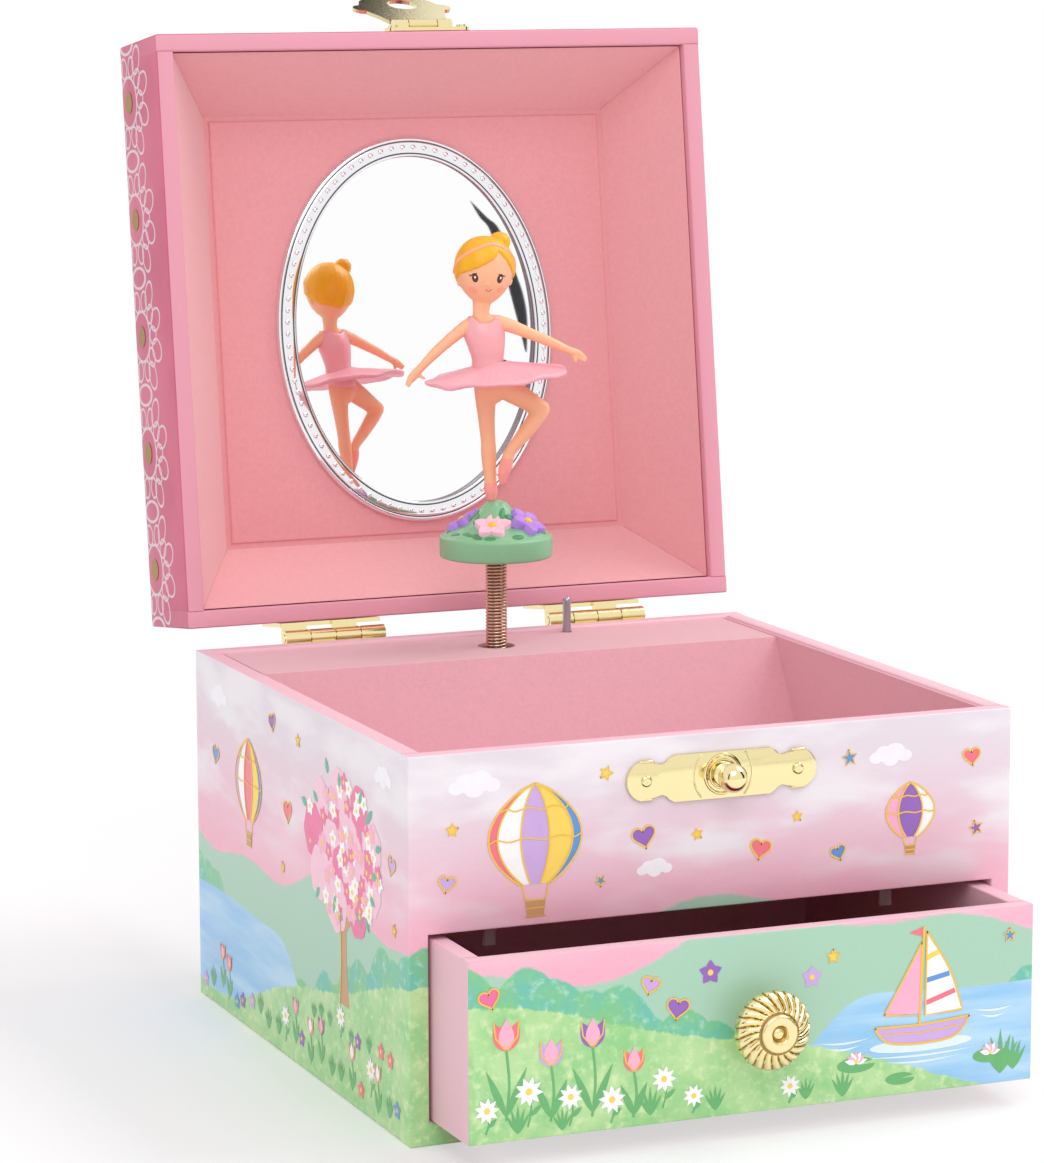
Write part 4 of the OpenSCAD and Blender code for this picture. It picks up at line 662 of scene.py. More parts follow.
def moulding():
    """Chromed oval moulding with two raised lines and a row of beads between them."""
    section = [(0.02, 0.02), (0.0, 0.5), (0.1, 0.9), (0.3, 1.15), (0.6, 1.27), (0.8, 1.24), (0.88, 1.14),
               (0.98, 1.14), (1.06, 1.26), (1.3, 1.32), (2.05, 1.36), (2.9, 1.36), (3.2, 1.34), (3.3, 1.2),
               (3.42, 1.2), (3.5, 1.36), (3.75, 1.38), (3.95, 1.2), (4.05, 0.8), (4.0, 0.0), (3.9, -0.38)]
    grooves = {5, 6, 7, 12, 13, 14, 17, 18, 19}
    foot = PANEL_Z - CARD
    bm = skinned([[(*oval(a, d), foot - h) for d, h in section] for a in angles(220)], closed=True)
    bm.verts.index_update()
    for f in bm.faces:
        if min(v.index % len(section) for v in f.verts) in grooves and f.calc_area() < 9:
            f.material_index = 1
    from_bmesh("vis_mirror_moulding", bm, "chrome chrome_groove", replaces=("mirror_frame",), smooth=50,
               **TRIM)
    # the beads stand in equal steps along the oval
    beads, inset, bead_foot, bead_height, long, wide = 86, 2.08, 1.33, 0.27, 0.56, 0.46
    bm = bmesh.new()
    fine = [oval(k * tau / 2000, inset) for k in range(2001)]
    length = [0.0]
    for p, q in zip(fine, fine[1:]):
        length.append(length[-1] + (q - p).length)
    i = 0
    for k in range(beads):
        while length[i] < length[-1] * k / beads:
            i += 1
        c, way = fine[i], (fine[(i + 1) % 2000] - fine[i - 1]).normalized()
        side = Vector((way.y, -way.x))
        skin_rings(bm, [[(*(c + way * (long * cos(e) * cos(q)) + side * (wide * cos(e) * sin(q))),
                          foot - bead_foot - bead_height * sin(e)) for q in angles(16)]
                        for e in (0.0, 0.35, 0.7, 1.05, 1.4)])
    from_bmesh("vis_mirror_beads", bm, "chrome", smooth=60, **TRIM)


def glass_height(u, v):
    """Height of the bowed and slightly skewed mirror over the panel, from its middle."""
    return GLASS_UP + GLASS_SKEW_U * u + GLASS_SKEW_V * v - GLASS_BOW * (u * u + v * v)


def mirror():
    a, b = OVAL_A - GLASS_INSET, OVAL_B - GLASS_INSET
    rings = []
    for inset, drop in ((0.0, 0.5), *(((a - 0.2) * k / 14, 0.0) for k in range(14))):
        f = 1 - inset / a
        ring = [(a * f * cos(t), b * f * sin(t)) for t in angles(96)]
        rings.append([(u + OVAL_X, v + OVAL_Y, PANEL_Z - max(0.06, glass_height(u, v) - drop))
                      for u, v in ring])
    from_bmesh("vis_mirror_glass", skinned(rings), "mirror", "lid", LID, ("mirror_glass",), "mirror_glass",
               smooth=60)


lining()
moulding()
mirror()

# ---------- the ballerina: x to her left as she is seen, y back, z up from the standing toe ----------
HEAD_X, HEAD_FLAT = -2.04, 0.95
# outline of the head: half width and height
HEAD = curve([(0.0, 37.4), (0.85, 37.6), (1.8, 38.1), (2.85, 38.9), (3.9, 40.0), (4.6, 41.1), (5.05, 42.2),
              (5.4, 43.4), (5.46, 44.6), (5.25, 46.2), (4.5, 47.9), (3.15, 49.3), (1.5, 50.05),
              (0.0, 50.25)], 6)
FIGURE = dict(body="dancer", matrix=at(FIGURE_X, FIGURE_Y, TOE_Z, rz=FIGURE_TURN), smooth=180)


def on_head(phi, h, lift=0.0):
    """Point on the head at an angle from the face's middle and a height, lifted off the skin."""
    k = next((i for i in range(1, len(HEAD)) if HEAD[i][1] >= h), len(HEAD) - 1)
    (w0, h0), (w1, h1) = HEAD[k - 1], HEAD[k]
    t = 0 if h1 == h0 else min(1, (h - h0) / (h1 - h0))
    n = Vector((h1 - h0, w0 - w1)).normalized()
    r = w0 + (w1 - w0) * t + n.x * lift
    return Vector((HEAD_X + r * sin(phi), -HEAD_FLAT * r * cos(phi), h + n.y * lift))


def spot(bm, phi, h, a, b, lift):
    """Small domed patch on the head: half sizes a and b in millimetres."""
    w = (on_head(phi, h) - Vector((HEAD_X, 0, h))).length
    dome = ((1.0, -0.03), (0.93, lift * 0.6), (0.7, lift * 0.9), (0.3, lift), (0.02, lift))

    def on_spot(q, rho, up):
        return on_head(phi + rho * a * cos(q) / w, h + rho * b * sin(q), up)
    skin_rings(bm, ringed(dome, 28, on_spot))


def face_line(bm, points, radius):
    """Thin raised line on the head through (angle in degrees, height) points."""
    tube(bm, [(*on_head(rad(p), h, 0.02), radius) for p, h in curve(points, 6)], 8)


def ballerina():
    skin = skinned([[(HEAD_X + w * sin(a), -HEAD_FLAT * w * cos(a), h) for a in angles(48)]
                    for w, h in ((max(w, 0.02), h) for w, h in HEAD)])
    # neck, trunk, shoulders, two arms, the standing leg, the bent leg's thigh and shin: x, y, z and radius
    limbs = [
        [(-2.7, 0.1, 32.5, 1.9), (-2.7, 0.1, 34.5, 1.78), (-2.7, 0.05, 36.5, 1.6), (-2.5, 0, 38.8, 1.9)],
        [(-0.7, 0, 21.2, 2.7), (-1.1, 0, 24.4, 2.4), (-1.5, 0, 27.3, 2.2), (-1.9, 0, 30.2, 2.5),
         (-2.2, 0, 32.6, 2.3)],
        [(-4.7, 0, 33.6, 1.45), (-2.2, 0.1, 34.2, 1.5), (0.35, 0, 34.1, 1.45)],
        [(-4.6, 0, 33.9, 1.42), (-6.6, -0.2, 32.7, 1.28), (-9.7, -0.6, 30.3, 1.1), (-12.0, -0.9, 28.3, 1.0),
         (-14.2, -1.2, 26.1, 0.8), (-15.3, -1.25, 25.0, 0.85)],
        [(0.4, 0, 34.2, 1.42), (3.0, -0.2, 33.4, 1.3), (6.4, -0.4, 32.0, 1.12), (10, -0.6, 30.5, 1.0),
         (13.4, -0.8, 28.9, 0.8), (14.8, -0.85, 28.3, 0.85)],
        [(-1.9, 0, 22.4, 2.3), (-1.9, 0, 19.5, 2.0), (-1.75, 0, 15.5, 1.6), (-1.45, 0, 11.4, 1.42),
         (-1.4, -0.05, 9.9, 1.48), (-1.3, 0.1, 7.6, 1.4), (-1.1, 0.05, 4.4, 1.18), (-0.95, 0, 2.2, 1.2),
         (-0.8, 0, 0.5, 0.85)],
        [(1.0, 0, 22.2, 2.4), (3.4, -0.3, 20.8, 2.25), (6.3, -0.6, 19.0, 1.95), (8.6, -0.8, 17.5, 1.72)],
        [(8.7, -0.8, 17.5, 1.68), (7.2, -1.1, 15.2, 1.6), (4.8, -1.4, 12.2, 1.35), (2.6, -1.6, 9.6, 1.1),
         (1.8, -1.6, 7.4, 1.2), (1.3, -1.55, 5.4, 1.05), (1.1, -1.5, 3.9, 0.65)]]
    for path in limbs:
        tube(skin, curve(path, 5))
    # for each hand the palm, four fingers together and the thumb
    hands = [
        [(-15.1, -1.25, 25.2, 0.8), (-15.8, -1.3, 24.4, 0.92), (-16.4, -1.3, 23.7, 0.8),
         (-17.0, -1.3, 22.9, 0.5)],
        [(-15.9, -1.3, 24.4, 0.6), (-16.5, -1.45, 23.2, 0.45), (-16.9, -1.6, 22.4, 0.32)],
        [(-15.2, -1.4, 24.9, 0.55), (-14.6, -1.6, 24.3, 0.42), (-13.9, -1.8, 23.9, 0.33)],
        [(14.6, -0.85, 28.4, 0.8), (15.4, -0.9, 28.0, 0.92), (16.2, -0.9, 27.6, 0.8),
         (17.2, -0.9, 27.1, 0.48)],
        [(15.4, -0.95, 27.8, 0.6), (16.3, -1.1, 27.0, 0.42), (17.0, -1.2, 26.6, 0.3)],
        [(14.8, -1.0, 27.9, 0.55), (15.1, -1.3, 27.1, 0.4), (15.3, -1.5, 26.5, 0.32)]]
    for path in hands:
        tube(skin, curve(path, 4), flat=0.62)
    for side in (-1, 1):
        ear = on_head(side * rad(88), 42.2, 0.1)
        tube(skin, [(ear.x - side * 0.3, ear.y, 41.5, 0.42), (ear.x - side * 0.2, ear.y, 42.1, 0.5)], 12)
    nose = on_head(rad(1), 41.7, -0.25)
    tube(skin, [(*nose, 0.42), (*(nose + Vector((0, -0.12, -0.05))), 0.4)], 12)
    from_bmesh("vis_dancer_figure", remeshed(skin, 0.21, 5), "peach", replaces=("dancer_figure",),
               slot="skin_plastic", **FIGURE)

    shoes = bmesh.new()
    for path in ([(-1.0, 0, 3.1, 1.27), (-0.93, 0.02, 1.7, 1.27), (-0.85, 0.02, 0.62, 0.95)],
                 [(2.0, -1.62, 7.9, 1.25), (1.65, -1.62, 6.6, 1.28), (1.3, -1.57, 5.3, 1.14),
                  (1.08, -1.5, 3.85, 0.75)]):
        tube(shoes, curve(path, 5))
    from_bmesh("vis_dancer_shoes", remeshed(shoes, 0.2, 3), "rose", slot="dress_plastic", **FIGURE)

    # eyes with highlights and lashes, smile and blush
    dark, light, lips, blush = (bmesh.new() for _ in range(4))
    for side, h in ((-1, 43.0), (1, 42.75)):
        phi = side * rad(27)
        spot(dark, phi, h, 0.62, 0.86, 0.1)
        spot(light, phi + 0.01, h + 0.18, 0.2, 0.26, 0.15)
        lash = ((23, 0.86), (30, 0.8), (36, 0.42), (39, 0.55))
        face_line(dark, [(side * q, h + up) for q, up in lash], 0.09)
        spot(blush, side * rad(38), 40.7, 0.95, 0.7, 0.03)
    face_line(lips, [(-4, 40.75), (-1, 40.5), (2.5, 40.42), (6, 40.5), (9, 40.78)], 0.08)
    for name, bm, look, slot in (("eyes", dark, "eye_brown", "hair_plastic"),
                                 ("eye_lights", light, "eye_white", "hair_plastic"),
                                 ("smile", lips, "smile", "skin_plastic"),
                                 ("blush", blush, "blush", "skin_plastic")):
        from_bmesh("vis_dancer_" + name, bm, look, slot=slot, **FIGURE)


def hair():
    """Shell over the head, swept from a parting over her left eye, with a bun and a band."""
    line = [(-180, 39.4), (-120, 40.5), (-90, 42.0), (-74, 43.0), (-60, 43.5), (-45, 43.9), (-20, 44.6),
            (0, 45.5), (16, 46.5), (28, 47.5), (38, 46.7), (52, 45.0), (66, 43.4), (80, 42.3), (90, 42.0),
            (120, 40.5), (180, 39.4)]
    around, along, parting, last = 132, 30, 28, len(HEAD) - 1
    rows = [[] for _ in range(along)]
    for k in range(around):
        deg = -180 + 360 * k / around
        low = between(deg, line)
        start = next(i for i in range(len(HEAD)) if HEAD[i][1] >= low)
        off = abs(deg - parting) / 8
        for j in range(along):
            t = j / along
            s = start + (last - start) * t
            i = min(int(s), last - 1)
            h = HEAD[i][1] + (HEAD[i + 1][1] - HEAD[i][1]) * (s - i)
            sweep = sin(rad(deg - parting) * 13 + t * 5.0) * 0.05 * (1 - t)
            sweep += sin(rad(deg) * 29 + t * 9) * 0.02
            lift = 0.36 * min(1.0, (t / 0.09) ** 0.5) + sweep * min(1, t * 8) + (-0.16 if j == 0 else 0)
            if off < 1:
                lift -= 0.16 * (1 - off) * max(0, 1 - t * 1.6)
            rows[j].append(on_head(rad(deg), min(h, 50.22), lift))
    from_bmesh("vis_dancer_hair", skinned(rows), "golden", replaces=("dancer_hair",), slot="hair_plastic",
               **FIGURE)

    # bun of wound strands
    bm = lathe([(0.02, -1.95), (1.0, -1.75), (1.75, -1.1), (2.1, 0), (1.85, 1.05), (1.2, 1.65), (0.6, 1.92),
                (0.02, 1.95)], 64, lambda r, z, a: (r * (1 + 0.05 * sin(5 * a + z * 3.2)), z))
    shift(bm, (1.1, 1.5, 49.2), 0.5, "X")
    from_bmesh("vis_dancer_bun", bm, "golden", slot="hair_plastic", **FIGURE)
    band = [(-90, 43.9), (-70, 46.0), (-45, 47.5), (-15, 48.6), (10, 49.0), (35, 48.7), (60, 47.6),
            (80, 45.9), (95, 43.9)]
    bm = bmesh.new()
    tube(bm, [(*on_head(rad(p), h, 0.24), 0.38) for p, h in curve(band, 6)], 12)
    from_bmesh("vis_dancer_band", bm, "peach_band", slot="dress_plastic", **FIGURE)


def dress():
    """Leotard with straps, and the stiff tutu with a waved rim."""
    # height, middle, half width, half depth
    body = curve([(22.2, -0.7, 3.2, 2.9), (23.0, -0.8, 3.35, 3.1), (24.6, -1.1, 3.5, 3.0),
                  (26.0, -1.35, 3.2, 2.75), (27.3, -1.5, 3.05, 2.65), (29.4, -1.75, 3.5, 2.9),
                  (31.6, -2.1, 3.95, 3.1), (33.2, -2.2, 3.85, 2.75), (34.6, -2.2, 3.6, 2.15),
                  (35.6, -2.2, 3.3, 1.8)], 5)
    tops = [(0, 34.2), (18, 34.35), (34, 34.9), (46, 35.4), (58, 35.3), (66, 34.2), (76, 32.9), (90, 32.4),
            (104, 32.9), (116, 34.2), (124, 35.3), (136, 35.3), (148, 34.8), (164, 34.3), (180, 34.2)]
    levels, around, hem = 40, 96, 22.2
    rows = []
    for j in range(levels + 1):
        row = []
        for a in angles(around):
            top = between(abs((math.degrees(a) + 180) % 360 - 180), tops)
            h = hem + (top - hem) * min(1.0, j / (levels - 2))
            i = next(n for n in range(1, len(body)) if body[n][0] >= min(h, 35.59))
            f = (h - body[i - 1][0]) / (body[i][0] - body[i - 1][0])
            x, rx, ry = (body[i - 1][n] + (body[i][n] - body[i - 1][n]) * f for n in (1, 2, 3))
            tuck = 1 - 0.10 * max(0, j - levels + 2)
            row.append((x + rx * tuck * sin(a), -ry * tuck * cos(a), h - (0.12 if j == levels else 0)))
        rows.append(row)
    bm = skinned(rows, caps=False)
    bm.faces.new([v for v in bm.verts][:around][::-1])
    solid = from_bmesh("vis_dancer_leotard", bm, "pink", replaces=("dancer_dress",), slot="dress_plastic",
                       **FIGURE)
    m = solid.modifiers.new("thickness", "SOLIDIFY")
    m.thickness, m.offset = 0.25 * MM, -1

    radius = 13.75 / 1.022
    section = [(0.17, 2.3), (0.27, 1.85), (0.45, 1.3), (0.65, 0.7), (0.82, 0.2), (0.93, -0.08),
               (0.985, -0.28), (1.0, -0.62), (0.985, -0.95), (0.93, -1.1), (0.8, -0.95), (0.55, -0.65),
               (0.3, -0.2), (0.17, 0.0)]

    def point(a, rho, z):
        wave = (0.26 * sin(6 * a + 0.9) + 0.12 * sin(11 * a)) * rho ** 3
        pleat = 0.045 * sin(45 * a) * min(1, max(0, (rho - 0.25) * 4)) * (1 if z > 0 else 0.6)
        r = radius * rho * (1 + 0.012 * sin(6 * a + 2.2) * rho)
        full = 1 + 0.35 * max(0, cos(a)) * rho ** 4
        return r * cos(a), r * sin(a), z * full + wave + pleat
    bm = skinned(ringed(curve(section, 3), 180, point), caps=False)
    shift(bm, (0, 0, 24.4), rad(-5.4), "Y")
    from_bmesh("vis_dancer_tutu", bm, "light_pink", slot="dress_plastic", **FIGURE)


# ---------- the flower base ----------
# outline of the mound: radius and height
MOUND = curve([(10.84, 3.85), (10.7, 4.1), (10.2, 4.4), (9.2, 4.95), (7.9, 5.6), (6.5, 6.4), (4.8, 7.6),
               (3.2, 9.2), (2.0, 10.35), (0.9, 10.8), (0.02, 10.85)], 4)


def on_mound(bearing, dist, lift=0.0):
    i = next((n for n in range(1, len(MOUND)) if MOUND[n][0] <= dist), len(MOUND) - 1)
    (r0, z0), (r1, z1) = MOUND[i - 1], MOUND[i]
    t = (r0 - dist) / (r0 - r1)
    n = Vector((z1 - z0, r0 - r1)).normalized()
    r, z = dist + n.x * lift, z0 + (z1 - z0) * t + n.y * lift
    return Vector((r * cos(bearing), r * sin(bearing), z))


def leaf(bm, bearing, dist, turn, length, width, lift, point, start):
    """Pointed patch lying on the mound, from a place outwards in a direction."""
    def place_on_mound(q, rho, up):
        x = length * (0.5 + 0.5 * rho * cos(q)) + start
        y = width * 0.5 * rho * sin(q) * (1 - 0.35 * point * cos(q)) * abs(sin(q)) ** (0.4 * point)
        u, v = turned(x, y, turn)
        away = min(10.5, max(0.3, math.hypot(dist + u, v)))
        return on_mound(bearing + math.atan2(v, dist + u), away, up)
    dome = ((1.0, -0.05), (0.9, lift * 0.7), (0.6, lift), (0.05, lift * 1.05))
    skin_rings(bm, ringed(dome, 24, place_on_mound))


def bloom_petal(bm, m, size):
    """One pointed, slightly cupped petal along X, thick enough to reach down into the mound."""
    def point(q, rho, z):
        x = size * (0.5 + 0.5 * rho * cos(q))
        y = size * 0.38 * rho * sin(q) * (1 - 0.25 * cos(q)) * abs(sin(q)) ** 0.25
        return m @ Vector((x, y, z + (0.25 * (x / size) ** 2 if z > 0 else 0)))
    skin_rings(bm, ringed(((1.0, -1.5), (1.0, 0.05), (0.9, 0.24), (0.55, 0.16), (0.05, 0.1)), 26, point))


def flower_base():
    def bumps(r, z, a):
        return r, z + (0.16 * sin(7 * a + r) * sin(r * 1.1) if 1.5 < r < 9.8 and z > 4.3 else 0)
    bm = lathe([(10.3, 0.02), (10.7, 0.2), (10.84, 0.6), (10.84, 3.4)] + MOUND, 120, bumps)
    kw = dict(body="dancer", matrix=at(FIGURE_X, FIGURE_Y, SPRING_TOP, rz=FIGURE_TURN), smooth=60)
    from_bmesh("vis_flower_base", bm, "mint", replaces=("flower_base",), slot="mint_plastic", **kw)
    marks = bmesh.new()
    for bearing, dist, turn, size in ((-136, 8.9, 80, 2.9), (-122, 9.1, 70, 2.8), (-104, 9.6, 88, 2.6),
                                      (-71, 9.3, 95, 2.8), (-20, 9.2, 85, 2.8), (20, 9.0, 75, 2.8),
                                      (44, 9.2, 100, 2.6), (92, 9.2, 80, 2.8), (130, 9.1, 95, 2.8),
                                      (175, 9.1, 80, 2.8), (205, 9.2, 95, 2.6)):
        leaf(marks, rad(bearing), dist - 0.1, rad(turn), size, 1.15, 0.12, 0.6, -size / 2)
    for bearing, dist, turn in ((-82, 3.9, 150), (-150, 4.6, 30), (-60, 4.4, 60), (20, 4.4, 20),
                                (110, 4.4, -20), (190, 4.2, 20)):
        leaf(marks, rad(bearing), dist, rad(turn), 2.6, 1.1, 0.2, 0.7, -1.0)
    from_bmesh("vis_base_leaves", marks, "leaf", slot="flower_plastic", **kw)
    # bearing, distance, height, slope, length of a petal
    flowers = {"petal_pink": ((-104, 6.3, 6.9, 26, 3.7), (66, 6.3, 6.9, 28, 3.7)),
               "petal_purple": ((-36, 6.9, 7.3, 34, 3.9), (163, 6.6, 7.1, 32, 3.7))}
    for key, rows in flowers.items():
        petals, centres = bmesh.new(), bmesh.new()
        for bearing, dist, z, slope, size in rows:
            m = Matrix.Rotation(rad(bearing), 4, "Z") @ Matrix.Translation((dist, 0, z)) \
                @ Matrix.Rotation(rad(slope), 4, "Y")
            for k in range(5):
                bloom_petal(petals, m @ Matrix.Rotation(rad(36 + 72 * k), 4, "Z"), size)
            skin_rings(centres, [[m @ Vector((r * cos(a), r * sin(a), h)) for a in angles(20)]
                                 for r, h in ((0.85, -0.2), (0.8, 0.3), (0.5, 0.55), (0.02, 0.62))])
        from_bmesh("vis_base_" + key, petals, key, slot="flower_plastic",
                   replaces=("base_flowers",) if key == "petal_pink" else (), **kw)
        from_bmesh(f"vis_base_{key}_centres", centres, "yellow", slot="flower_plastic", **kw)


def spring():
    """The ballerina's spring, bent with her when the lid shuts."""
    turns, per, foot, radius, wire = 29, 24, 64.6, (4.2 - 0.56) / 2, 0.27
    steps = turns * per
    path = []
    for k in range(steps + 1):
        a = k * tau / per
        path.append((radius * cos(a) + FIGURE_X, radius * sin(a) + FIGURE_Y,
                     foot + 0.3 + (SPRING_TOP - foot - 0.6) * k / steps, wire))
    bm = bmesh.new()
    tube(bm, path, 10)
    ob = from_bmesh("vis_ballerina_spring", bm, "copper", None, replaces=("ballerina_spring",),
                    slot="copper_wire", smooth=180)
    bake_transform(ob)


ballerina()
hair()
dress()
flower_base()
spring()


# ---------- plated fittings ----------
PLATED = dict(slot="plated_brass")


def knob():
    """Cast knob: dimpled centre, smooth ring and slanted flutes round the rim."""
    radius, flutes, slant = 6.88, 11, 0.1
    profile = curve([(3.2, 0.02), (3.2, 0.9), (2.5, 1.7), (2.5, 2.9), (4.6, 3.5), (6.2, 4.0), (radius, 4.7),
                     (radius, 5.6), (6.62, 6.3), (5.9, 6.95), (4.9, 7.5), (3.9, 7.85), (3.42, 7.9),
                     (3.3, 8.1), (3.1, 8.45), (2.7, 8.58), (2.1, 8.56), (1.6, 8.45), (1.38, 8.0),
                     (1.1, 7.75), (0.85, 7.95), (0.5, 8.15), (0.02, 8.2)], 4)

    def ridge(r, a):
        """1 on the ridge of a flute, 0 in its groove."""
        return abs(cos(flutes * (a + slant * (radius - r))))

    def fluted(r, z, a):
        if z <= 3.3 or r <= 3.5:
            return r, z
        cut = (1 - ridge(r, a) ** 0.7) * min(1, (r - 3.5) / 0.8)
        return (r - 0.1 * cut, z - 0.75 * cut) if z > 5.6 else (r - 0.3 * cut, z)
    bm = lathe(profile, 308, fluted)
    for f in bm.faces:
        c = f.calc_center_median()
        r = math.hypot(c.x, c.y)
        in_flute = r > 3.7 and c.z > 4.4 and ridge(r, math.atan2(c.y, c.x)) < 0.3
        if in_flute or (3.3 < r < 3.75 and c.z > 7.7) or (0.95 < r < 1.4 and c.z > 7.6):
            f.material_index = 1
    from_bmesh("vis_drawer_knob", bm, "brass brass_groove", "drawer", at(0, DRAWER_FACE, KNOB_Z, rx=90),
               ("drawer_knob",), smooth=60, **PLATED)


def plate(outline, z0, z1, bevel):
    """Flat plate between two heights with a rounded upper edge."""
    n = len(outline)
    rows = []
    for inset, z in ((0, z0), (0, z1 - bevel), (bevel * 0.3, z1 - bevel * 0.3), (bevel, z1)):
        row = []
        for k, (x, y) in enumerate(outline):
            (ax, ay), (bx, by) = outline[k - 1], outline[(k + 1) % n]
            d = Vector((by - ay, ax - bx)).normalized() * inset
            row.append((x - d.x, y - d.y, z))
        rows.append(row)
    return skinned(rows)


def arc(c, r, a0, a1, n):
    """Points of an arc between two angles in degrees."""
    steps = [rad(a0 + (a1 - a0) * k / n) for k in range(n + 1)]
    return [(c[0] + r * cos(a), c[1] + r * sin(a)) for a in steps]


def latch():
    """Scalloped plate with stamped rings and its nails, drawn in the plane and stood up on the front."""
    # half of the outline, right side from the bottom edge up
    right = [(9.0, -4.1)] + arc((11.4, -4.2), 1.5, 150, 62, 6) + arc((LATCH_EAR, 0), 3.58, -76, 76, 22) \
        + arc((11.4, 4.2), 1.5, -62, -150, 6) + [(9.0, 4.1)]
    bm = plate(right + [(-x, y) for x, y in right[::-1]], 0.02, 0.55, 0.2)
    c = (0, 0.2)
    for radius, wire, z in ((3.35, 0.3, 0.55), (2.45, 0.22, 0.62)):
        tube(bm, [(*p, z, wire) for p in arc(c, radius, 0, 360, 64)[:-1]], 8, closed=True)
    for middle in (0, 180):
        half = math.degrees(0.74)
        tube(bm, [(*p, 0.53, 0.16) for p in arc(c, 5.5, middle - half, middle + half, 20)], 8)
    for x in (-LATCH_EAR, LATCH_EAR):
        for y, z, wire in ((3.35, 0.45, 0.24), (-3.3, 0.4, 0.2)):
            tube(bm, [(x - 1.1, y, z, wire), (x + 1.1, y, z, wire)], 10)
    from_bmesh("vis_latch_plate", bm, "brass", "base", at(LATCH_X, -HALF, LATCH_Z, rx=90), ("latch_plate",),
               smooth=40, **PLATED)
    profile = curve([(1.5, 0.02), (1.5, 0.9), (1.75, 1.15), (2.1, 1.3), (2.1, 1.6), (1.75, 1.8), (1.3, 2.1),
                     (1.25, 2.5), (1.6, 2.75), (2.2, 3.3), (2.47, 4.1), (2.5, 4.6), (2.4, 5.4), (1.9, 6.3),
                     (1.2, 6.85), (0.5, 7.05), (0.02, 7.08)], 3)
    from_bmesh("vis_latch_stud", lathe(profile, 64), "brass", "base",
               at(LATCH_X, -HALF, LATCH_Z + 0.2, rx=90), ("latch_stud",), smooth=60, **PLATED)


def nail_heads(name, replaced, seats, way):
    """Domed nail heads with a struck middle; seats are their feet, and way is the outward side in y."""
    r, h = 1.0, 0.45
    dome = [(r, 0.02), (r * 0.96, h * 0.45), (r * 0.7, h * 0.85), (r * 0.35, h), (r * 0.2, h * 0.9),
            (0.02, h * 0.82)]
    bm = bmesh.new()
    for x, y, z in seats:
        skin_rings(bm, [[(x + q * cos(a), y + way * p, z + q * sin(a)) for a in angles(24)]
                        for q, p in dome])
    from_bmesh(name, bm, "brass", "base", replaces=replaced, smooth=50, **PLATED)


def screws():
    """Slotted screws along y: three through the back into the bedplate, and two through the comb."""
    back, comb = (51.8, FACE, 58.1), (47.5, 41.5, 40.4)  # y of the foot, the head's seat and the head's top
    dome = ((1.8, 0.0), (1.8, 0.3), (1.7, 0.6), (1.45, 0.82), (1.1, 0.94), (0.7, 1.0), (0.35, 1.0),
            (0.08, 1.0))
    bm = bmesh.new()
    for x, z, turn, (foot, seat, top) in (
            (-17.9, 8.6, 0.5, back), (16.1, 8.6, 1.9, back), (-17.9, 43.8, 2.7, back),
            (-25.25, 36.0, 0.9, comb), (-25.25, 45.2, 2.2, comb)):
        rings = [[(x + cos(a), y, z + sin(a)) for a in angles(96)] for y in (foot, seat)]
        for r, up in dome:
            ring = []
            for a in angles(96):
                slot = 0.42 if up > 0.5 and abs(r * sin(a - turn)) < 0.3 else 0.0
                ring.append((x + r * cos(a), seat + (top - seat) * (up - slot), z + r * sin(a)))
            rings.append(ring)
        skin_rings(bm, rings)
    from_bmesh("vis_movement_screws", bm, "steel", "base", None, ("movement_screws",), "steel", smooth=30)


knob()
latch()
latch_seats = [(LATCH_X + s * LATCH_EAR, -HALF - 0.57, LATCH_Z) for s in (-1, 1)]
hinge_seats = [(s * 27.6 + t * 6, HALF + 0.8, 59.65) for s in (-1, 1) for t in (-1, 1)]
nail_heads("vis_latch_nails", ("base_nails",), latch_seats, -1)
nail_heads("vis_hinge_base_nails", (), hinge_seats, 1)
screws()


# ---------- the print: a generic garden with balloons, a pond and flowers ----------
def spread(c, size):
    """Places round c, in lengths of size."""
    return lambda du, dv: (c[0] + size * du, c[1] + size * dv)


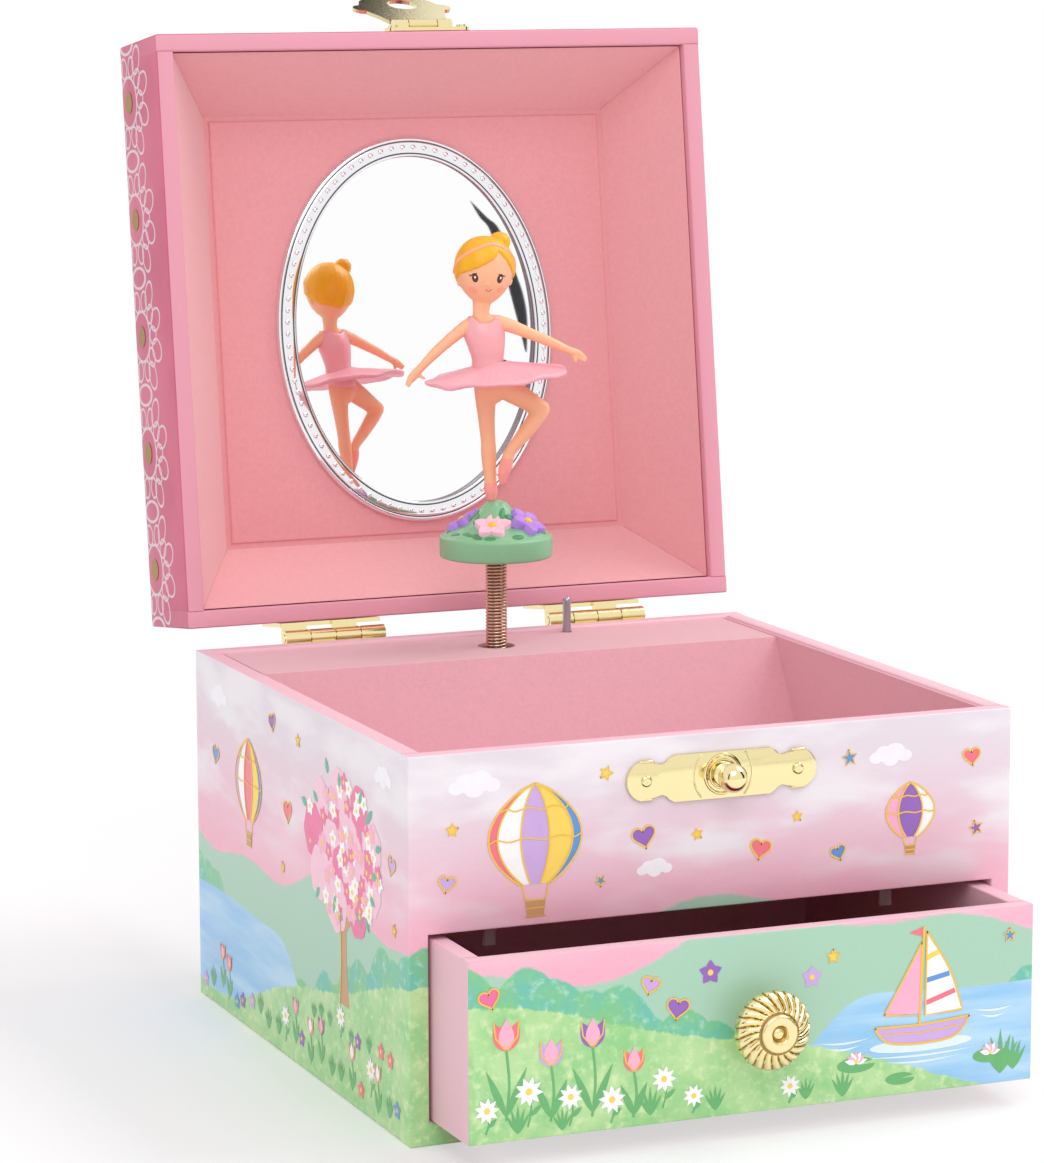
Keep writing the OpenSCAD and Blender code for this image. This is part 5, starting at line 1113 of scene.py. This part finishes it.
class Print:
    """Flat printed shapes on the box's faces, one mesh for each ink, drawn in millimetres."""
    FACES = {
        "front": lambda u, v, d: (u, -FACE - d, v), "left": lambda u, v, d: (-FACE - d, -2 * HALF - u, v),
        "right": lambda u, v, d: (FACE + d, u - 2 * HALF, v),
        "back": lambda u, v, d: (4 * HALF - u, FACE + d, v),
        "drawer": lambda u, v, d: (u, DRAWER_FACE + SUNK - d, v),
        "lid_top": lambda u, v, d: (u, v, LID_TOP - SUNK + d),
        "lid_left": lambda u, v, d: (-FACE - d, u, v), "lid_right": lambda u, v, d: (FACE + d, u, v),
        "lid_front": lambda u, v, d: (u, -FACE - d, v), "lid_back": lambda u, v, d: (u, FACE + d, v)}

    def __init__(self, body, slot, matrix=None):
        self.body, self.slot, self.matrix, self.inks = body, slot, matrix, {}
        self.face, self.laid = None, {}

    def height(self, layer, points):
        """Height of a new shape over the board: a hair over the shapes of its layer that it overlaps."""
        us, vs = zip(*points)
        box = (min(us), max(us), min(vs), max(vs))
        laid = self.laid.setdefault((self.face, layer), [])
        below = [level for a, b, c, d, level in laid
                 if a < box[1] and b > box[0] and c < box[3] and d > box[2]]
        level = max(below, default=-1) + 1
        laid.append((*box, level))
        return layer * 0.024 + min(level, 79) * 0.0003

    def start(self, ink, points, layer):
        """The ink's mesh, and the function that puts a point of the new shape on the face."""
        put, lift = self.FACES[self.face], self.height(layer, points)
        bm = self.inks.setdefault(ink, bmesh.new())
        return bm, lambda u, v: bm.verts.new(put(u, v, lift))

    def shape(self, ink, points, layer=1):
        bm, put = self.start(ink, points, layer)
        vs = [put(u, v) for u, v in points]
        for tri in tessellate_polygon([[Vector((u, v, 0)) for u, v in points]]):
            if len(set(tri)) == 3:
                bm.faces.new([vs[i] for i in tri])

    def line(self, ink, points, width=0.4, layer=5, taper=False):
        """Ribbon along a polyline."""
        bm, put = self.start(ink, points, layer)
        last = len(points) - 1
        rows = []
        for k, (u, v) in enumerate(points):
            a, b = points[max(k - 1, 0)], points[min(k + 1, last)]
            du, dv = b[0] - a[0], b[1] - a[1]
            w = width / 2 * (max(0.15, sin(pi * k / last)) if taper else 1) / (math.hypot(du, dv) or 1)
            rows.append([put(u - s * dv * w, v + s * du * w) for s in (-1, 1)])
        for (a, b), (c, d) in zip(rows, rows[1:]):
            bm.faces.new((a, b, d, c))

    def edged(self, ink, points, layer, width):
        """Shape with a gold outline."""
        self.shape(ink, points, layer)
        self.line("gold", points + points[:1], width)

    def finish(self):
        for ink, bm in self.inks.items():
            from_bmesh(f"vis_print_{self.slot.split('_')[0]}_{self.body}_{ink}", bm, "ink_" + ink, self.body,
                       self.matrix, slot=self.slot, smooth=0)

    def blob(self, ink, c, rx, ry=None, lobes=0, turn=0.0, layer=1, n=36):
        pts = []
        for a in angles(n):
            r = 1 - 0.1 * abs(sin(lobes * a / 2 + turn)) if lobes else 1
            x, y = turned(rx * r * cos(a), (ry or rx) * r * sin(a), turn)
            pts.append((c[0] + x, c[1] + y))
        self.shape(ink, pts, layer)

    def petal(self, ink, c, angle, length, width, layer=2, edge=False):
        half = [(t * length, width / 2 * sin(pi * t ** 0.8)) for t in (k / 14 for k in range(15))]
        pts = [turned(x, y, angle) for x, y in half + [(x, -y) for x, y in half[-2:0:-1]]]
        pts = [(c[0] + x, c[1] + y) for x, y in pts]
        if edge:
            self.edged(ink, pts, layer, 0.22)
        else:
            self.shape(ink, pts, layer)

    def blossom(self, c, size, ink, petals=5, turn=0.3):
        for a in angles(petals):
            self.petal(ink, c, turn + a, size, size * 3.6 / petals, 3)
        self.blob("yellow", c, size * 0.24, layer=4, n=14)

    def daisy(self, c, size, stem):
        x, y = c
        self.line("green", curve([c, (x + 0.4, y - stem * 0.5), (x - 0.2, y - stem)], 6), 0.35, 2)
        self.petal("green", (x + 0.2, y - stem * 0.7), 0.7, stem * 0.5, 0.9)
        self.blossom(c, size, "white", petals=9, turn=x)

    def tulip(self, c, size, ink, stem):
        x, y = c
        self.line("green", curve([c, (x + 0.5, y - stem * 0.5), (x - 0.1, y - stem)], 6), 0.45, 2)
        for side in (-1, 1):
            self.petal("green", (x, y - stem * 0.95), pi / 2 + side * 0.42, stem * 0.75, 1.3)
            self.petal(ink, (x, y - 0.2), pi / 2 + side * 0.42, size, size * 0.5, 3)
        self.petal("white" if ink == "pink" else "pink", (x, y - 0.2), pi / 2, size * 1.02, size * 0.52, 4)
        to = spread(c, size)
        for side in (-1, 1):
            self.line("gold", [(x, y - 0.1), to(side * 0.36, 0.4), to(side * 0.42, 0.9)], 0.28)

    def grass(self, c, height):
        for k in range(-2, 3):
            self.petal("green", c, pi / 2 + k * 0.28, height * (1 - 0.1 * abs(k)), height * 0.13)

    def heart(self, c, size, ink, turn=0.0):
        to = spread(c, size / 34)
        outline = [(16 * sin(t) ** 3, 13 * cos(t) - 5 * cos(2 * t) - 2 * cos(3 * t) - cos(4 * t))
                   for t in angles(40)]
        self.edged(ink, [to(*turned(u, v, turn)) for u, v in outline], 2, 0.3)

    def star(self, c, size, ink, turn=0.0):
        to = spread(c, size / 2)
        points = [(1 if k % 2 == 0 else 0.45, turn + k * pi / 5) for k in range(10)]
        self.edged(ink, [to(r * sin(a), r * cos(a)) for r, a in points], 2, 0.28)

    def cloud(self, c, size):
        to = spread(c, size)
        for du, dv, r in ((-0.95, 0, 0.42), (-0.4, 0.22, 0.6), (0.3, 0.28, 0.68), (0.95, 0.05, 0.45),
                          (0, -0.08, 0.55)):
            self.blob("cloud", to(du, dv), r * size, r * size * 0.8)

    def balloon(self, c, size, inks):
        """Hot-air balloon: gores, gold seams, ropes and a basket."""
        to = spread(c, size)
        n, steps = len(inks), 18

        def side(q, t):
            """Point on a seam, q from the left edge to the right, t from the crown down to the mouth."""
            return to(0.5 * sin(pi * (q - 0.5)) * sin(pi * min(1, t * 0.93)) ** 0.72, 0.55 - 1.02 * t)
        seams = [[side(k / n, j / steps) for j in range(steps + 1)] for k in range(n + 1)]
        for ink, left, right in zip(inks, seams, seams[1:]):
            self.shape(ink, left + right[::-1], 2)
        for seam in seams:
            self.line("gold", seam, 0.32)
        wide, top, low = 0.11, -0.63, -0.795  # the basket's half width, rim and floor
        for s in (-1, 1):
            self.line("gold", [to(s * wide * 1.3, -0.47), to(s * wide, top)], 0.25)
        self.shape("tan", [to(-wide, top), to(-wide * 0.8, low), to(wide * 0.8, low), to(wide, top)], 3)
        for v in (top, (top + low) / 2, low):
            self.line("gold", [to(-wide, v), to(wide, v)], 0.25)
        for t in (0.25, 0.55):
            self.line("gold", [side(j / 24, t + 0.015 * sin(j * pi / 3)) for j in range(25)], 0.25)

    def boat(self, c, size):
        """Sailing boat with striped sails, on its reflection."""
        to = spread(c, size)
        hull = curve([to(-0.5, 0), to(-0.36, -0.15), to(0, -0.19), to(0.36, -0.15), to(0.52, 0.03)], 6)
        self.blob("white_soft", to(0, -0.2), size * 0.55, size * 0.07)
        self.shape("lilac", hull + [to(0, -0.01)], 3)
        self.line("gold", hull + [to(0, -0.01), hull[0]], 0.4)
        self.line("gold", [to(-0.4, -0.07), to(0, -0.09), to(0.42, -0.05)], 0.25)
        main = curve([to(0.05, 0.9), to(0.3, 0.5), to(0.44, 0.1)], 8)
        jib = curve([to(0, 0.8), to(-0.2, 0.45), to(-0.4, 0.12)], 8)
        self.shape("white", main + [to(0.04, 0.07)], 3)
        self.shape("pink", jib + [to(-0.02, 0.1)], 3)
        for sail, foot in ((main, 0.04), (jib, -0.02)):
            self.line("gold", sail + [to(foot, 0.08), sail[0]], 0.35)
        for up, ink in ((0.2, "coral"), (0.42, "blue"), (0.64, "yellow")):
            u, v = main[int((1 - up) * 16)]
            self.line(ink, [to(0.05, up), (u - 0.5, v + size * 0.02)], 0.9, 4)
        self.line("gold", [to(-0.02, 0), to(0.02, 0.95)], 0.45)
        self.shape("coral", [to(0.02, 0.95), to(-0.14, 0.9), to(0.02, 0.85)], 3)

    def pad(self, c, size, lotus=False):
        to = spread(c, size)
        rim = [0.5 + k * (tau - 0.5) / 22 for k in range(23)]
        self.shape("green", [to(cos(a), 0.38 * sin(a)) for a in rim] + [c], 2)
        if lotus:
            for k in range(7):
                self.petal("pink" if k % 2 else "white", (c[0], c[1] + 0.3), pi * (0.08 + 0.14 * k),
                           size * 0.62, size * 0.26, 3)
            self.blob("yellow", (c[0], c[1] + 0.6), size * 0.1, layer=4, n=12)

    def ripple(self, c, width):
        for k in range(2):
            to = spread((c[0], c[1] - k * 1.1), 1.0)
            wave = [to(width * (1 - 0.35 * k) * (j / 8 - 1), -0.5 * sin(pi * j / 16)) for j in range(17)]
            self.line("white_soft", wave, 0.4, 2, True)

    def tree(self, c, size, seed):
        """Blossoming tree standing at c."""
        draw = random.Random(seed)
        to = spread(c, size)
        trunk = curve([to(-0.05, 0), to(-0.03, 0.2), to(-0.045, 0.42)], 5)
        self.shape("tan", trunk + curve([to(0.045, 0.45), to(0.03, 0.2), to(0.06, 0)], 5), 1)
        for a in (2.3, 0.8, 1.3, 1.9):
            self.petal("tan", to(0, 0.3), a, size * 0.45, size * 0.045, 1)
        self.line("gold", trunk, 0.3)
        for k, (q, a) in enumerate((q, a + q) for q in (0.4, 1.0) for a in angles(9)):
            self.blob("pink_soft" if k % 3 else "deep_pink", to(0.36 * cos(a) * q, 0.66 + 0.25 * sin(a) * q),
                      size * draw.uniform(0.09, 0.13), lobes=7, turn=k, layer=2)
        for _ in range(74):
            a, q = draw.uniform(0, tau), draw.random() ** 0.6
            self.blossom(to(0.44 * cos(a) * q, 0.66 + 0.31 * sin(a) * q), size * 0.045,
                         draw.choice(("white", "pink", "deep_pink")), turn=a)
        for _ in range(16):
            a, q = draw.uniform(0, tau), draw.uniform(0.7, 1.05)
            self.petal("teal", to(0.46 * cos(a) * q, 0.66 + 0.31 * sin(a) * q), a, size * 0.07,
                       size * 0.035, 3)


def meadow(p, u0, u1, floor, seed, height=9.0):
    """Scattered flowers and grass along a stretch of wall."""
    draw = random.Random(seed)
    u = u0
    while u < u1:
        z = floor + draw.uniform(0.5, 3.0)
        kind = draw.random()
        if kind < 0.28:
            p.daisy((u, z + height * 0.55), 2.3, height * 0.55)
        elif kind < 0.5:
            ink = draw.choice(("coral", "lilac", "pink", "purple"))
            p.tulip((u, z + height * 0.6), 3.4, ink, height * 0.6)
        elif kind < 0.78:
            p.grass((u, z), height * 0.5)
        else:
            p.blossom((u, z + 1.5), 1.7, draw.choice(("purple", "lilac", "blue", "coral")))
        u += draw.uniform(3.2, 6.0)


def garden_print():
    p = Print("base", "printed_board")
    p.face = "front"
    for u, v, size in ((-45, 61, 3.4), (33, 60, 3.0), (-12, 44, 2.4)):
        p.cloud((u, v), size)
    p.balloon((-34, 51.5), 17, ("coral", "white", "lilac", "yellow", "blue"))
    p.balloon((37, 50), 9.5, ("pink", "purple", "white"))
    for u, v, size, ink, turn in ((-14, 50, 4.6, "purple", 0.2), (8, 46, 4.2, "coral", -0.2),
                                  (23, 44, 3.2, "blue", 0.3), (49, 59, 3.6, "coral", 0.1),
                                  (-50, 45, 3.4, "lilac", -0.2)):
        p.heart((u, v), size, ink, turn)
    for u, v, size, ink in ((-21, 61.5, 2.6, "yellow"), (-4, 49.5, 2.2, "yellow"), (25, 60.5, 3.0, "blue"),
                            (15, 51, 2.0, "yellow"), (50, 46, 2.8, "purple"), (-49, 54, 2.4, "yellow"),
                            (-22, 43, 2.2, "blue")):
        p.star((u, v), size, ink, u)
    # each other wall from its left end, the back one from its right end
    for face, end, way in (("left", -3 * HALF, 1), ("right", HALF, 1), ("back", 5 * HALF, -1)):
        p.face = face
        p.cloud((end + way * 14, 60), 3.4)
        p.cloud((end + way * 102, 61), 3.0)
        p.tree((end + way * 82, 17), 42, int(end))
        p.balloon((end + way * 31, 47), 15, ("lilac", "white", "coral", "yellow", "blue"))
        for along, v, size, ink in ((53, 46, 4.6, "coral"), (45, 61, 3.8, "purple"), (12, 49, 4.0, "blue"),
                                    (106, 47, 3.8, "lilac")):
            p.heart((end + way * along, v), size, ink, 0.3 * sin(along))
        for along, v, size in ((59, 60, 2.6), (107, 36, 2.4), (50, 35, 2.4)):
            p.star((end + way * along, v), size, "yellow", along)
        left = end if way > 0 else end - 2 * HALF
        meadow(p, left + 4, left + 111, 1.5, int(end) + 9)
        left += 66 if way > 0 else 6
        meadow(p, left, left + 42, 9, int(end) + 10, 7.0)
    p.finish()

    p = Print("drawer", "printed_board")
    p.face = "drawer"
    for u, v, size, ink, stem in ((-46, 20, 5.4, "coral", 12), (-38, 16.5, 4.8, "lilac", 9.5),
                                  (-30.5, 19, 5.0, "purple", 12), (-23, 14, 4.2, "coral", 8)):
        p.tulip((u, v), size, ink, stem)
    for u, v, size, stem in ((-42, 12.5, 2.6, 6), (-34.5, 10.8, 2.3, 5), (-27, 9.5, 2.5, 4),
                             (-17.5, 12, 2.3, 5), (-49.5, 10, 2.3, 4), (-12, 8.5, 2.0, 3), (6, 8.2, 2.0, 3)):
        p.daisy((u, v), size, stem)
    for u, v, height in ((-44, 5.5, 5), (-36, 5.2, 4), (-20, 6, 5), (-8, 5.5, 4.5), (9, 5.5, 4),
                         (16, 5.2, 5), (46.5, 6, 8), (49, 6.5, 6)):
        p.grass((u, v), height)
    for u, v, size, ink in ((-15, 24, 4.4, "purple"), (-20, 28.5, 3.6, "lilac"),
                            (-49, 29, 4.0, "deep_pink")):
        p.heart((u, v), size, ink, 0.3 * sin(u))
    p.boat((31, 16.5), 18)
    for u, v, width in ((31, 11.4, 11), (16, 15, 5), (45, 18, 4)):
        p.ripple((u, v), width)
    for u, v, size, lotus in ((18.5, 10.5, 3.6, True), (44.5, 9.5, 3.4, True), (27, 7.2, 2.8, False)):
        p.pad((u, v), size, lotus)
    for u, v, ink in ((14, 30, "yellow"), (48, 30.5, "blue")):
        p.star((u, v), 2.6, ink)
    p.blossom((-9, 29.5), 2.2, "purple")
    p.blossom((10, 26.8), 2.0, "lilac")
    p.finish()


def lid_print():
    """Gold spots of the lace, and a rosette of hearts on the lid's top."""
    p = Print("lid", "lid_board", LID)
    for face in ("lid_left", "lid_right", "lid_front", "lid_back"):
        p.face = face
        for k in range(-2, 3):
            p.blob("old_gold", (LACE_PITCH * k, LID_TOP - LACE_ROW), 2.1, layer=4, n=28)
    p.face = "lid_top"
    for k, a in enumerate(angles(12)):
        p.heart((24 * sin(a), 24 * cos(a)), 8.5, ("pink", "lilac", "coral")[k % 3], -a)
        p.petal("white", (15 * sin(a), 15 * cos(a)), pi / 2 - a, 5.5, 2.0, 2, True)
    for k, a in enumerate(angles(8)):
        p.petal(("white", "pink")[k % 2], (0, 0), a, 12, 6.5, 2 + k % 2, True)
    p.blob("gold", (0, 0), 2.6, layer=4)
    for r in (13.6, 33):
        p.line("gold", [(r * sin(k * tau / 96), r * cos(k * tau / 96)) for k in range(97)], 0.5)
    p.finish()


garden_print()
lid_print()

# ---------- CAD nodes that are shown as they are ----------
SHOWN = {
    "underside": "base_floor", "dark": "drawer_lining", "raw": "tray_floor rear_partition rear_shelf",
    "rim": "drawer_floor", "clear": "drawer_stops", "tray_velour": "tray_lining",
    "brass": "hinge_base_leaves hinge_pins hinge_lid_leaves lid_nails hasp_leaf hasp_pin hasp_tab",
    "steel": "comb click_spring knob_screw cylinder_arbor mainspring winding_arbor governor_worm "
             "stop_plunger",
    "movement": "movement_frame governor_bracket music_cylinder cylinder_gear mainspring_barrel idler_gear",
    "white_plastic": "spring_socket governor_fan", "key": "winding_key",
}
for key, names in SHOWN.items():
    for name in names.split():
        ob = NODES[name]
        ob.data.materials.clear()
        ob.data.materials.append(mats[key])

# ---------- stage, light and camera ----------
scene = bpy.context.scene
scene.view_settings.view_transform = "Standard"
scene.view_settings.look = "None"


def pale_floor():
    """Pale floor whose far part fades to white for the camera; the near part keeps the shadow."""
    m = material("pale_floor", (246, 246, 247), 0.9, grain=0.004, grain_scale=0.02)
    t = m.node_tree
    x, y, _ = split(place(t))
    far = most(ramp(root(x * x + y * y), 150.0, 420.0), 0.6 * ramp(x, -62.0, -44.0))
    camera = Value(t, t.nodes.new("ShaderNodeLightPath").outputs["Is Camera Ray"])
    glow = node(t, "Emission", ((1, 1, 1, 1), 1.0))
    out = next(n for n in t.nodes if n.type == "OUTPUT_MATERIAL")
    surface = Value(t, out.inputs[0].links[0].from_socket)
    t.links.new(node(t, "MixShader", (far * camera, surface, glow)).socket, out.inputs[0])
    return m


def world(diffuse, seen):
    """Even white light: its strength on matt surfaces, and as it is seen, mirrored or seen through."""
    w = bpy.data.worlds.new("studio")
    scene.world = w
    w.use_nodes = True
    t = w.node_tree
    t.nodes.clear()
    out = t.nodes.new("ShaderNodeOutputWorld")
    bg = t.nodes.new("ShaderNodeBackground")
    path = t.nodes.new("ShaderNodeLightPath")
    kinds = ("Is Camera Ray", "Is Glossy Ray", "Is Transmission Ray")
    camera, glossy, through = (Value(t, path.outputs[kind]) for kind in kinds)
    white = most(most(camera, glossy), through)
    bg.inputs["Color"].default_value = (1, 1, 1, 1)
    t.links.new((white * seen + (1 - white) * diffuse).socket, bg.inputs["Strength"])
    t.links.new(bg.outputs[0], out.inputs[0])


def lamp(name, power, size, position, target):
    data = bpy.data.lights.new(name, "AREA")
    data.energy, data.size = power, size
    ob = bpy.data.objects.new(name, data)
    scene.collection.objects.link(ob)
    ob.location = position
    ob.rotation_euler = (Vector(target) - Vector(position)).to_track_quat("-Z", "Y").to_euler()


FLOOR_HALF, FLOOR_Z = 3000, -0.02
mats["floor"] = pale_floor()
corners = [(FLOOR_HALF * x, FLOOR_HALF * y, FLOOR_Z) for x, y in ((-1, -1), (1, -1), (1, 1), (-1, 1))]
floor = from_bmesh("floor", new_mesh(corners, [(0, 1, 2, 3)]), "floor", None, smooth=0)
world(0.82, 1.0)
lamp("key", 5.5, 0.6, (0.8, 0.0, 1.0), (0, 0, 0.06))
lamp("fill", 5.5, 0.9, (-0.35, -0.95, 1.15), (0, 0, 0.08))

# The camera was solved from the photo: its bearing, elevation and roll, and in metres its distance and the
# point that it looks at.
BEARING, ELEVATION, ROLL, DISTANCE = rad(-22.385), rad(8.886), rad(-0.162), 0.75171
AIM = Vector((-0.01284, 0, 0.08562))
back = Vector((sin(BEARING) * cos(ELEVATION), -cos(BEARING) * cos(ELEVATION), sin(ELEVATION)))
right = (-back).cross(Vector((0, 0, 1))).normalized()
up = right.cross(-back)
right, up = right * cos(ROLL) + up * sin(ROLL), up * cos(ROLL) - right * sin(ROLL)
cam = bpy.data.objects.new("camera", bpy.data.cameras.new("camera"))
scene.collection.objects.link(cam)
cam.data.lens, cam.data.sensor_width, cam.data.sensor_fit = 128.24, 36, "AUTO"
cam.data.clip_end = 20
axes = Matrix((right, up, back)).transposed().to_4x4()
cam.matrix_world = Matrix.Translation(AIM + back * DISTANCE) @ axes
scene.camera = cam


def card(name, quads):
    """Dark studio card that only reflections see."""
    bm = bmesh.new()
    for quad in quads:
        bm.faces.new([bm.verts.new(Vector(p) * (1 / MM)) for p in quad])
    ob = from_bmesh(name, bm, "card", None, smooth=0)
    ob.visible_camera = ob.visible_diffuse = ob.visible_shadow = ob.visible_transmission = False


def streak():
    """Curved card whose reflection bends along the mirror's edge on her left."""
    eye, away = cam.matrix_world.translation, 0.9
    spine = curve([(13.1, -25.3, 0.05), (15.7, -22.0, 0.6), (18.2, -19.1, 0.85), (21.3, -9.7, 1.0),
                   (22.4, -5.5, 1.05), (23.2, -0.8, 0.8), (23.7, 5.5, 0.1)], 5)
    rows = []
    for u, v, half in spine:
        row = []
        for w in (u - 1.3 * half, u + 1.3 * half):
            p = LID @ (Vector((w + OVAL_X, v + OVAL_Y, PANEL_Z - glass_height(w, v))) * MM)
            slope = Vector((2 * GLASS_BOW * w - GLASS_SKEW_U, 2 * GLASS_BOW * v - GLASS_SKEW_V, -1))
            n = (LID.to_3x3() @ slope.normalized()).normalized()
            ray = (p - eye).normalized()
            row.append(p + (ray - n * (2 * ray.dot(n))) * away)
        rows.append(row)
    card("card_streak", [(a, b, d, c) for (a, b), (c, d) in zip(rows, rows[1:])])


streak()
CARD_TOP = Vector((0, 0, 1.3))
for name, x, y, turn, width in (("card_right", 1.3, -0.75, 60, 0.6), ("card_left", -1.3, -0.75, -60, 0.35),
                                ("card_back", 0.4, 1.5, 165, 0.4)):
    c, w = Vector((x, y, 0)), Vector((cos(rad(turn)), sin(rad(turn)), 0)) * width / 2
    card(name, [(c - w, c + w, c + w + CARD_TOP, c - w + CARD_TOP)])
